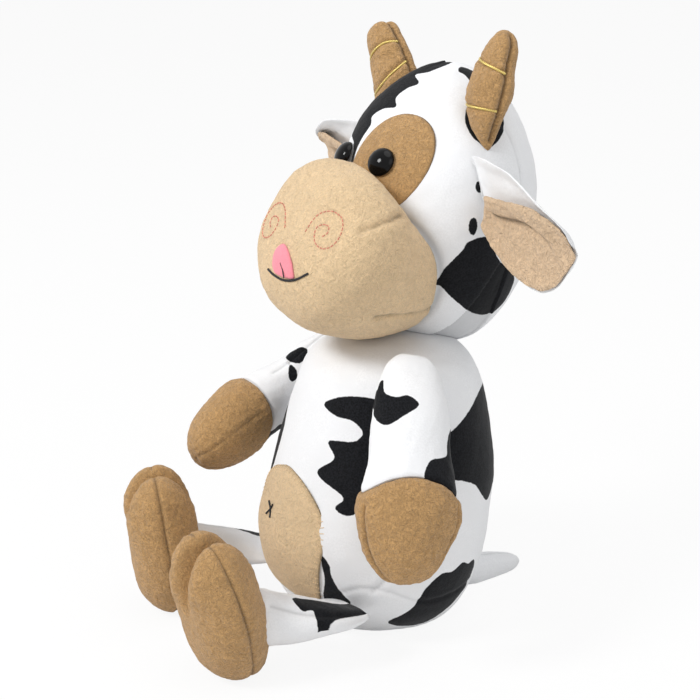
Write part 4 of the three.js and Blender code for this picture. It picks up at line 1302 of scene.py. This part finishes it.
def build_eye_patch():
    """The round tan patch of fleece behind the left eye."""
    obj = ball("eye_patch_fleece", "eye_patch")
    spread, angle, top = disc_grid(obj)
    across = EYE_PATCH_PLACE[0] + EYE_PATCH_HALF_SIZE[0] * spread * np.cos(angle)
    rise = EYE_PATCH_PLACE[1] + EYE_PATCH_HALF_SIZE[1] * spread * np.sin(angle) * 0.98
    skin, facing = front_of_head(across, rise)
    stand = panel_height(spread, top, 0.9 * sizes()["panel_thickness"], 0.2)
    free = smooth_step(MUZZLE.excess(skin + muzzle_pull(skin)), -0.02, 0.03)
    stand = np.where(top > 0.5, 0.12 + (stand - 0.12) * (0.1 + 0.9 * free), stand * 0.5)
    reshape(obj, skin + facing * stand[:, None])
    # Painted shade round the patch's rim, where it meets the head.
    mark(obj, "crease_shade", 0.7 * top * bell(spread, 1, 0.025))
    settle(obj, HEAD)
    dress(obj, cloth("tan"), "head", ("eye_patch",))


def build_eyes():
    """The glossy domed eyes with their shanks, and the washers behind the cloth."""
    for side, _ in SIDES:
        obj = ball(f"eye_dome_{side}", "eye")
        x, y, z = corners(obj).T
        height = z * np.where(z > 0, EYE_HEIGHT, EYE_BACK)
        points = np.stack([x * EYE_DIAMETER / 2, y * EYE_DIAMETER / 2, height + EYE_RIM], axis=1)
        bm = bmesh.new()
        reshape(obj, points)
        bm.from_mesh(obj.data)
        shank = bmesh.ops.create_cone(
            bm, cap_ends=True, segments=24, radius1=SHANK_RADIUS, radius2=SHANK_RADIUS,
            depth=SHANK_LENGTH, matrix=Matrix.Translation((0, 0, SHANK_RISE)),
        )
        bmesh.ops.bevel(
            bm, geom=[e for e in bm.edges if e.verts[0] in shank["verts"] and e.calc_length() < 1],
            offset=0.25, segments=2, profile=0.5, affect="EDGES", material=-1,
        )
        bm.to_mesh(obj.data)
        bm.free()
        obj.data.shade_smooth()
        place, facing = front_of_head(EYE_ACROSS[side], EYE_RISE)
        holder = aimed(place[0] + facing[0] * EYE_LIFT[side], facing[0])
        settle(obj, HEAD @ holder)
        dress(obj, cloth("eye"), "head", (f"eye_{side}",))
        washer = frame["nodes"][f"eye_washer_{side}"]
        washer.data.materials.clear()
        washer.data.materials.append(cloth("washer"))


def aimed(place, direction):
    """A matrix at a place whose own Z points along a direction."""
    z = unit(np.array(direction, float))
    x = unit(np.cross(np.array([0.0, 0.0, 1.0]), z))
    matrix = np.eye(4)
    matrix[:3, 0], matrix[:3, 1], matrix[:3, 2], matrix[:3, 3] = x, np.cross(z, x), z, place
    return matrix


def build_horns():
    """The tan horns, pinched by bands of gold thread and creased along a seam."""
    for side, sign in SIDES:
        turns = ("Y", sign * HORN_TILT[side]), ("X", -HORN_PITCH[side])
        holder = HEAD @ placed(HORN_PLACE[side], *turns)
        obj = ball(f"horn_cloth_{side}", "horn")
        share, angle = ball_grid(obj)
        local = HORNS[side].surface(share, angle)
        creases = [(seam_of(HORNS[side], *HORN_SEAM[side]), 1.5, 1.7)]
        lines = {}
        for height, knots in HORN_BANDS[side].items():
            lines[height] = band_line(HORNS[side], knots)
            creases.append((lines[height], 1.2, 1.2))
        finish_skin(obj, local, creases, 0.9 * sizes()["lump_height"], 17.0, nap="horn")
        if sign < 0:
            obj.data.flip_normals()
        shape = corners(obj) * np.array([sign, 1.0, 1.0])
        onto_head = bring_back(carry(shape, holder), HEAD)
        reshape(obj, CRANIUM.push_out(onto_head, 0.3, 0.3, 0.62))
        settle(obj, HEAD)
        dress(obj, cloth("tan"), "head", (f"horn_{side}",))
        for height, line in lines.items():
            line = carry(line * np.array([sign, 1.0, 1.0]), holder) * MM
            band = thread(f"horn_thread_{height}_{side}", [line], THREAD_RADII["horn"] * MM)
            dress(band, cloth("gold"), "head", (f"horn_band_{height}_{side}",))


def seam_of(form, bearing, low, high, count=40):
    """A seam along a form at a bearing in degrees, from one share of its length to another."""
    return form.surface(np.linspace(low, high, count), np.full(count, math.radians(bearing)))


def band_line(form, knots):
    """A line round a horn, pressed a little into its skin."""
    line = curve_through(knots, 16)
    share = np.interp(line[:, 0], form.along, form.share)
    places = form.surface(share, np.radians(line[:, 1]))
    return places + unit(form.ring(share)[0] - places) * 0.55


def ear_frame(side, sign):
    """The frame of an ear at its root on the head."""
    back, radius = head_ring(EAR_RISE[side])
    x = math.sqrt(radius**2 - (EAR_FORWARD[side] - back) ** 2) + EAR_STAND_OFF
    return placed(
        (sign * x, EAR_FORWARD[side], EAR_RISE[side]), ("Z", sign * EAR_TURN[side]),
        ("Y", sign * EAR_TILT[side]), ("X", EAR_TWIST[side]),
    )


def ear_sheet(run, v, lining):
    """Where an ear's leaf lies, along it and across it, before it has a thickness."""
    edges = curve_through(EAR_SHARES)
    top = np.interp(run, edges[:, 0], edges[:, 1])
    bottom = np.interp(run, edges[:, 0], edges[:, 2])
    if lining:
        top = top * np.interp(run, [row[0] for row in EAR_SHARES], EAR_LINING_SHARES)
        bottom = bottom * EAR_LINING_WIDTH
    half = np.where(v > 0, top, bottom) * EAR_HALF_WIDTH
    cup = EAR_CUP * np.sin(math.pi * (0.15 + 0.7 * run))
    return np.stack([run * EAR_LENGTH, -cup * v**2, v * half], axis=1), top * EAR_HALF_WIDTH


def lining_relief(x, z, lip):
    """How far the lining stands up: a soft roll over a groove, and painted shade just below the
    groove.
    """
    groove = np.interp(x, *curve_through(EAR_GROOVE).T)
    fade = smooth_step(x, 1, 7) * (1 - smooth_step(x, 40, 50))
    rise = np.clip((z - groove) / np.maximum(lip - groove, 1), 0, 1)
    roll = 3.0 * smooth_step(rise, 0, 0.25) * (1 - 0.7 * smooth_step(rise, 0.45, 1)) * (z > groove)
    recess = 1.1 * bell(z, groove, 5) * (z <= groove)
    return (roll - recess) * fade, bell(z, groove - 0.6, 1.1) * fade


def ear_grid(obj):
    """Share along an ear, place across it, side and roundness of the end, for a ball's points."""
    share, angle = ball_grid(obj)
    run = (1 - np.cos(share * math.pi)) / 2
    end = np.sqrt(np.clip(1 - np.maximum(0, (run - EAR_TIP) / (1 - EAR_TIP)) ** 2, 0, 1))
    end *= np.sqrt(np.clip(1 - np.maximum(0, (EAR_ROOT - run) / EAR_ROOT) ** 2, 0, 1))
    v = np.cos(angle) * np.where(end > 0.02, end**0.3, 0)
    return run, v, np.sign(np.sin(angle)) * np.abs(np.sin(angle)) ** 0.5 * end


def padded_lining(sheet, lip, v, thick):
    """The lining's skin, thick at its front, and the painted shade in its groove."""
    relief, dark = lining_relief(sheet[:, 0], sheet[:, 2], lip)
    rim = 0.9 * bell(np.abs(v), 0.86, 0.1)
    sheet[:, 1] += thick * np.where(thick < 0, 1.7 + np.maximum(relief + rim, -1.2), 0) - 0.2
    return sheet, 0.9 * dark * (thick < 0)


def rolled_back(sheet, run, v, thick, holder, mirror):
    """The back's skin, rolled over the lining's upper edge and laid to the head at its root."""
    sheet[:, 1] += 1.3 + 1.1 * thick - 2.4 * smooth_step(v, 0.75, 1)
    middle = carry(sheet * mirror, holder)
    away = np.maximum(CRANIUM.clearance(middle) - 0.8, 0) * (1 - smooth_step(run, 0.02, 0.3))
    behind = middle[:, 1] - head_ring(middle[:, 2])[0]
    inward = np.stack([middle[:, 0], behind, 0 * run], axis=1)
    moved = middle - unit(inward) * (away * smooth_step(v, -0.1, 0.3))[:, None]
    return bring_back(CRANIUM.push_out(moved, 0.2), holder) * mirror


def build_ears():
    """The drooping ears: a white back that rolls over a curly padded lining."""
    for side, sign in SIDES:
        holder = ear_frame(side, sign)
        mirror = np.array([sign, 1.0, 1.0])
        ends = [carry(np.array([[sign * x, 0.0, 0.0]]), HEAD @ holder)[0] * MM for x in (-3, 15)]
        bend = ("head", f"ear_on_{side}", *ends)
        for layer in ("back", "lining"):
            lining = layer == "lining"
            obj = ball(f"ear_{layer}_{side}", "ear")
            run, v, thick = ear_grid(obj)
            sheet, lip = ear_sheet(run, v, lining)
            if lining:
                sheet, dark = padded_lining(sheet, lip, v, thick)
                finish_skin(obj, sheet, (), 0.3, 18.0, nap="lining")
                # Painted shade in the lining's groove, under its roll.
                paint_crease_shade(obj, dark, add=False)
            else:
                sheet = rolled_back(sheet, run, v, thick, holder, mirror)
                finish_skin(obj, sheet, (), 0.3, 18.0)
                mark(obj, "patch", patch_depth(sheet[:, ::2], EAR_SPOTS[side]))
            settle(obj, HEAD @ holder, mirror=sign < 0)
            if lining:
                dress(obj, cloth("lining"), None, (f"ear_lining_{side}",), bend)
            else:
                dress(obj, cloth("pile"), None, (f"ear_{side}",), bend)


def arm_frame(side, sign):
    """The frame of an arm at its shoulder."""
    return placed(
        joint_place(f"arm_{side}_swing"), ("Z", -sign * SHOULDER_BEARING),
        ("Y", -sign * SHOULDER_TILT), ("X", ARM_PITCH[side]),
    )


def arm_spots(points, side):
    """Distance round and height of points on an arm."""
    out, back, down = np.array(ARM_SPINE[side]).T
    drop = (SHOULDER_TOP - points[:, 2]) / ARM_LENGTH[side]
    x = points[:, 0] - ARM_HALF_DEPTH * np.interp(drop, down, out)
    y = points[:, 1] - ARM_HALF_WIDTH * np.interp(drop, down, back)
    return np.stack([ARM_ROUND * np.arctan2(x, y), points[:, 2]], axis=1)


def cuff_shares(arm, angles):
    """Where the mitt's round top edge meets the arm, for each angle round it."""
    low, high = np.full(len(angles), 0.1), np.full(len(angles), 0.75)
    centre = np.array([ARM_HALF_DEPTH, 0, -MITT_DROP])
    for _ in range(24):
        middle = (low + high) / 2
        points = arm.surface(middle, angles)
        inside = np.linalg.norm(points - centre, axis=1) < MITT_RADIUS
        inside |= points[:, 2] < -MITT_DROP
        high = np.where(inside, middle, high)
        low = np.where(inside, low, middle)
    return (low + high) / 2


def arm_grid(arm, piece, share, angle):
    """Where a sleeve's or mitt's points lie on the arm, past its cuff, and how far turned in."""
    cuff = cuff_shares(arm, angle)
    if piece == "sleeve":
        shares = np.clip(share / (1 - CUFF_SHARE), 0, 1) * (cuff - 0.001)
        inward = np.clip((share - 1 + CUFF_SHARE) / CUFF_SHARE, 0, 1)
    else:
        lower = np.clip((share - CUFF_SHARE) / (1 - CUFF_SHARE), 0, 1)
        shares = cuff + 0.001 + lower * (1 - cuff - 0.001)
        inward = np.clip((CUFF_SHARE - share) / CUFF_SHARE, 0, 1)
    return shares, (shares - cuff) * arm.length, inward


def arm_seams(arm, side, piece):
    """The crease round the cuff and those along a sleeve or a mitt."""
    angles = np.linspace(-math.pi, math.pi, 120)
    ring = arm.surface(cuff_shares(arm, angles), angles)
    if piece == "sleeve":
        return [(ring, 1.2, 0.6), (seam_of(arm, 180, 0.05, 0.5, 30), 1.2, 0.7)]
    at, depth = MITT_SEAM[side]
    down, up = seam_of(arm, at, 0.55, 0.985), seam_of(arm, 180 - at, 0.985, 0.62)
    return [(ring, 1.2, 0.6), (np.vstack([down, up]), 1.3, depth)]


def build_arm_piece(side, sign, piece):
    """One sleeve with its patches, or one mitt."""
    arm = ARMS[side]
    obj = ball(f"arm_{piece}_cloth_{side}", "arm")
    share, angle = ball_grid(obj)
    shares, past, inward = arm_grid(arm, piece, share, angle)
    local = arm.surface(shares, angle)
    hidden = local[inward > 0].mean(axis=0)
    local = local + (hidden - local) * inward[:, None]
    nap = "tan" if piece == "mitt" else "pile"
    lumps = sizes()["lump_height"] * 0.9
    finish_skin(obj, local, arm_seams(arm, side, piece), lumps, 27.0, nap=nap)
    points = corners(obj)
    if piece == "mitt":
        swell = MITT_SWELL * smooth_step(past, 0.0, 5.0) * (1 - smooth_step(past, 6.0, 26.0))
        points = points + facings(obj) * (swell * (inward <= 0))[:, None]
        low = smooth_step(-points[:, 2], 56, 78)
        points[:, 1] -= MITT_TRIM[side] * smooth_step(points[:, 1], 4, 26) * low
    else:
        points[:, 0] *= 1 - 0.4 * smooth_step(points[:, 2], -14, 24)
    points[:, 0] = pressed(points[:, 0], 0.35)
    reshape(obj, points)
    settle(obj, arm_frame(side, sign), mirror=sign < 0)
    body = f"arm_on_{side}"
    if piece == "mitt":
        dress(obj, cloth("tan"), body, (f"arm_mitt_{side}",))
    else:
        spots = arm_spots(local, side)
        mark(obj, "patch", patch_depth(spots, ARM_PATCHES[side], 2 * math.pi * ARM_ROUND))
        nodes = (f"arm_sleeve_{side}", f"arm_stuffing_{side}")
        dress(obj, cloth("pile"), body, nodes)


def build_arms():
    """The hanging arms: white sleeves with patches, and tan mitts sewn to them."""
    for side, sign in SIDES:
        for piece in ("sleeve", "mitt"):
            build_arm_piece(side, sign, piece)


def foot_depth_profile():
    """Spread from the middle and depth of a foot's half thickness."""
    rows = [(spread * 30, puff * FOOT_HALF_DEPTH) for spread, puff in FOOT_PUFF]
    line = curve_through(rows)
    return run_along(line)[0], line / np.array([30, FOOT_HALF_DEPTH])


def foot_stance(side, place):
    """The frame of a foot, seen from its hip."""
    return placed(
        (-FOOT_INSET[side], -FOOT_REACH[side], -place[2] - 0.5), ("Z", -FOOT_TURN[side]),
        ("X", FOOT_TILT[side]),
    )


def foot_frame(side, sign):
    """The frame a foot stands in on the toy."""
    place = joint_place(f"leg_{side}_raise")
    hip = placed(place, ("Z", sign * HIP_TURN))
    return hip @ np.diag([sign, 1.0, 1.0, 1.0]) @ foot_stance(side, place)


def foot_points(obj, half):
    """A ball's points as a foot: a padded outline with a notch and a groove between two toes."""
    tilt, angle, _ = disc_grid(obj)
    angle = np.degrees(angle)
    right = np.abs(angle) <= 90
    turn = np.where(right, (angle + 90) / 180, (270 - np.mod(angle, 360)) / 180)
    rim = columns(np.clip(turn, 0, 1), run_along(half)[0], half)
    rim[:, 0] *= np.where(right, 1.0, -1.0)
    spread, puff = columns(tilt, *foot_depth_profile()).T
    core = np.array([0, FOOT_MIDDLE * FOOT_HEIGHT])
    x, z = (core + (rim - core) * spread[:, None]).T
    y = np.where(corners(obj)[:, 2] >= 0, -1.0, 1.0) * puff * FOOT_HALF_DEPTH
    width, depth = TOE_NOTCH
    z = z - depth * (bell(x, 0, width) * smooth_step(z, 46, FOOT_HEIGHT))
    width, depth = TOE_GROOVE
    y = y * (1 - depth * bell(x, 0, width) * smooth_step(z, 40, 68))
    middle, width, rise = TOE_BULGE
    y = y * (1 + rise * (bell(np.abs(x), middle, width) * smooth_step(z, 46, 66)))
    return np.stack([x, y, z], axis=1)


def build_feet():
    """The big tan feet with two toes and a seam all round."""
    half = curve_through([(a * FOOT_HALF_WIDTH, u * FOOT_HEIGHT) for a, u in FOOT_OUTLINE])
    rim = np.stack([half[:, 0], 0 * half[:, 0], half[:, 1]], axis=1)[::6]
    seams = [(rim, 1.3, 1.0), (rim * MIRROR, 1.3, 1.0)]
    for side, sign in SIDES:
        obj = ball(f"foot_cloth_{side}", "foot")
        local = foot_points(obj, half)
        finish_skin(obj, local, seams, sizes()["lump_height"] * 1.1, 30.0, nap="tan")
        if sign < 0:
            obj.data.flip_normals()
        settled = carry(corners(obj), foot_frame(side, sign))
        low = settled[:, 2] < FLOOR_GAP
        settled[:, 2] = np.where(low, FLOOR_GAP + PRESSED_SHARE * settled[:, 2], settled[:, 2])
        reshape(obj, settled * MM)
        dress(obj, cloth("tan"), f"leg_on_{side}", (f"foot_{side}",))


def build_legs():
    """The short white leg sleeves between the hips and the feet."""
    for side, sign in SIDES:
        form = Form(
            [tuple(v * LEG_LENGTH for v in row) for row in LEG_SPINE[side]],
            (1, 0, 0), LEG_SHARES, LEG_HALF_WIDTH, LEG_HALF_HEIGHT,
        )
        obj = ball(f"leg_sleeve_cloth_{side}", "leg")
        share, angle = ball_grid(obj)
        local = form.surface(share, angle)
        fold = seam_of(form, 35, 0.2, 0.7, 30)
        finish_skin(obj, local, [(fold, 1.6, 0.8)], sizes()["lump_height"], 22.0)
        points = corners(obj)
        place = joint_place(f"leg_{side}_raise")
        stance = foot_stance(side, place)
        in_foot = bring_back(points, stance)
        in_foot[:, 1] = pressed(in_foot[:, 1], FOOT_HALF_DEPTH / 2)
        points = carry(in_foot, stance)
        points[:, 2] = pressed(points[:, 2], FLOOR_GAP - place[2])
        reshape(obj, points)
        spots = np.stack([local[:, 0], -local[:, 1]], axis=1)
        depth = patch_depth(spots, LEG_PATCHES[side])
        mark(obj, "patch", np.where(facings(obj)[:, 2] > -0.3, depth, -5.0))
        hip = placed(place, ("Z", sign * HIP_TURN))
        settle(obj, hip, mirror=sign < 0)
        nodes = (f"leg_sleeve_{side}", f"leg_stuffing_{side}")
        dress(obj, cloth("pile"), f"leg_on_{side}", nodes)


def build_tail():
    """The short white tail."""
    half = TAIL_HALF_WIDTH
    spine = [(0, 0, 0), (0, TAIL_LENGTH / 2, -half / 4), (0, TAIL_LENGTH, -half / 3)]
    form = Form(spine, (1, 0, 0), TAIL_SHARES, half, half)
    obj = ball("tail_cloth", "tail")
    share, angle = ball_grid(obj)
    local = form.surface(share, angle)
    seam = seam_of(form, -90, 0.1, 0.95, 30)
    finish_skin(obj, local, [(seam, 1.0, 0.7)], 0.4, 16.0)
    mark(obj, "patch", patch_depth(local[:, :2], []))
    root = np.array(joint_place("tail_wag"))
    settle(obj, placed(root))
    points = corners(obj)
    points[:, 2] = np.maximum(points[:, 2], TAIL_LIFT)
    reshape(obj, points)
    ends = [(root + np.array([0.0, run, 0.0])) * MM for run in (2, 24)]
    dress(obj, cloth("pile"), None, ("tail",), ("torso", "tail_end", *ends))


# Stage


def build_stage():
    """A pale floor, soft lamps and the camera."""
    scene = bpy.context.scene
    scene.view_settings.view_transform = "Standard"
    mesh = bpy.data.meshes.new("floor")
    bm = bmesh.new()
    bmesh.ops.create_grid(bm, x_segments=2, y_segments=2, size=6.0)
    bm.to_mesh(mesh)
    bm.free()
    new_object("floor", mesh)
    mesh.materials.append(floor_material())
    world = bpy.data.worlds.new("studio")
    world.use_nodes = True
    scene.world = world
    plain = world.node_tree.nodes["Background"]
    bright = world.node_tree.nodes.new("ShaderNodeBackground")
    for node, strength in ((plain, WORLD_STRENGTH), (bright, 1.0)):
        node.inputs["Color"].default_value = (1, 1, 1, 1)
        node.inputs["Strength"].default_value = strength
    shown_by(world.node_tree, seen_directly(world.node_tree), plain, bright, "World Output")
    for name, (place, size, power) in LAMPS.items():
        lamp(name, place, size, power)
    data = bpy.data.cameras.new("camera")
    data.sensor_width = CAMERA_SENSOR
    data.lens = CAMERA_LENS
    data.clip_start = 0.05
    camera = new_object("camera", data)
    camera.location = CAMERA_PLACE
    camera.rotation_euler = [math.radians(turn) for turn in CAMERA_TURN]
    scene.camera = camera


def seen_directly(tree):
    """A socket that is 1 for what the camera sees, itself, in a shine or through a clear piece."""
    paths = tree.nodes.new("ShaderNodeLightPath")
    socket = paths.outputs["Is Camera Ray"]
    for name in ("Is Glossy Ray", "Is Transmission Ray"):
        node = tree.nodes.new("ShaderNodeMath")
        node.operation = "MAXIMUM"
        tree.links.new(socket, node.inputs[0])
        tree.links.new(paths.outputs[name], node.inputs[1])
        socket = node.outputs[0]
    return socket


def shown_by(tree, factor, first, second, output):
    """Sends two shaders, mixed by a factor, to an output node."""
    mix = tree.nodes.new("ShaderNodeMixShader")
    for source, socket in zip((factor, first.outputs[0], second.outputs[0]), mix.inputs):
        tree.links.new(source, socket)
    tree.links.new(mix.outputs[0], tree.nodes[output].inputs["Surface"])


def floor_material():
    """White floor that keeps a soft shadow."""
    made = Nodes("floor_paper")
    specks = made.noise(2.0, 2.0)
    colour = made.blend(made.spread(specks, 0.3, 0.7), (0.86, 0.86, 0.86), (0.88, 0.88, 0.88))
    made.close(colour, None, 0.9, specular=0.1)
    glow = made.add("ShaderNodeEmission")
    glow.inputs["Strength"].default_value = 1.0
    seen = made.maths("MULTIPLY", seen_directly(made.tree), 0.9)
    shown_by(made.tree, seen, made.shader, glow, "Material Output")
    return made.material


def lamp(name, place, size, power):
    """A large soft lamp that faces the toy."""
    data = bpy.data.lights.new(name, "AREA")
    data.shape = "DISK"
    data.size = size
    data.energy = power
    obj = new_object(name, data)
    obj.location = place
    obj.rotation_euler = (Vector(LIT_SPOT) - obj.location).to_track_quat("-Z", "Y").to_euler()


# Operators and panel


class COW_OT_stage(Operator):
    """Set up the floor, the lamps and the camera."""

    bl_idname = "cow.stage"
    bl_label = "Stage"

    def execute(self, context):
        build_stage()
        return {"FINISHED"}


class COW_OT_torso(Operator):
    """Sew the torso."""

    bl_idname = "cow.torso"
    bl_label = "Torso"

    def execute(self, context):
        build_torso()
        return {"FINISHED"}


class COW_OT_belly(Operator):
    """Sew the belly panel and its stitches."""

    bl_idname = "cow.belly"
    bl_label = "Belly"

    def execute(self, context):
        build_belly()
        return {"FINISHED"}


class COW_OT_head(Operator):
    """Sew the head."""

    bl_idname = "cow.head"
    bl_label = "Head"

    def execute(self, context):
        build_head()
        return {"FINISHED"}


class COW_OT_muzzle(Operator):
    """Sew the muzzle."""

    bl_idname = "cow.muzzle"
    bl_label = "Muzzle"

    def execute(self, context):
        build_muzzle()
        return {"FINISHED"}


class COW_OT_face(Operator):
    """Stitch the nostrils, mouth and tongue."""

    bl_idname = "cow.face"
    bl_label = "Face"

    def execute(self, context):
        build_face()
        return {"FINISHED"}


class COW_OT_eyes(Operator):
    """Fit the eye patch and the eyes."""

    bl_idname = "cow.eyes"
    bl_label = "Eyes"

    def execute(self, context):
        build_eye_patch()
        build_eyes()
        return {"FINISHED"}


class COW_OT_horns(Operator):
    """Sew the horns and wind their bands."""

    bl_idname = "cow.horns"
    bl_label = "Horns"

    def execute(self, context):
        build_horns()
        return {"FINISHED"}


class COW_OT_ears(Operator):
    """Sew the ears."""

    bl_idname = "cow.ears"
    bl_label = "Ears"

    def execute(self, context):
        build_ears()
        return {"FINISHED"}


class COW_OT_arms(Operator):
    """Sew the arms."""

    bl_idname = "cow.arms"
    bl_label = "Arms"

    def execute(self, context):
        build_arms()
        return {"FINISHED"}


class COW_OT_legs(Operator):
    """Sew the legs and feet."""

    bl_idname = "cow.legs"
    bl_label = "Legs"

    def execute(self, context):
        build_legs()
        build_feet()
        return {"FINISHED"}


class COW_OT_tail(Operator):
    """Sew the tail."""

    bl_idname = "cow.tail"
    bl_label = "Tail"

    def execute(self, context):
        build_tail()
        return {"FINISHED"}


OPERATORS = (
    COW_OT_stage,
    COW_OT_torso,
    COW_OT_belly,
    COW_OT_head,
    COW_OT_muzzle,
    COW_OT_face,
    COW_OT_eyes,
    COW_OT_horns,
    COW_OT_ears,
    COW_OT_arms,
    COW_OT_legs,
    COW_OT_tail,
)


class COW_PT_panel(Panel):
    """Lists the cow's settings and its operators."""

    bl_idname = "COW_PT_panel"
    bl_label = "Stuffed cow"
    bl_space_type = "VIEW_3D"
    bl_region_type = "UI"
    bl_category = "Stuffed cow"

    def draw(self, context):
        layout = self.layout
        for group in (context.scene.cow_sizes, context.scene.cow_colours):
            for name in group.__annotations__:
                layout.prop(group, name)
        for made in OPERATORS:
            layout.operator(made.bl_idname)


CLASSES = [CowColours, CowSizes, *OPERATORS, COW_PT_panel]


def register():
    for made in CLASSES:
        bpy.utils.register_class(made)
    bpy.types.Scene.cow_colours = PointerProperty(type=CowColours)
    bpy.types.Scene.cow_sizes = PointerProperty(type=CowSizes)


def unregister():
    del bpy.types.Scene.cow_colours
    del bpy.types.Scene.cow_sizes
    for made in reversed(CLASSES):
        bpy.utils.unregister_class(made)


def main():
    """Builds the whole toy."""
    register()
    for made in OPERATORS:
        name = made.bl_idname.split(".")[1]
        getattr(bpy.ops.cow, name)()


if __name__ == "__main__":
    main()
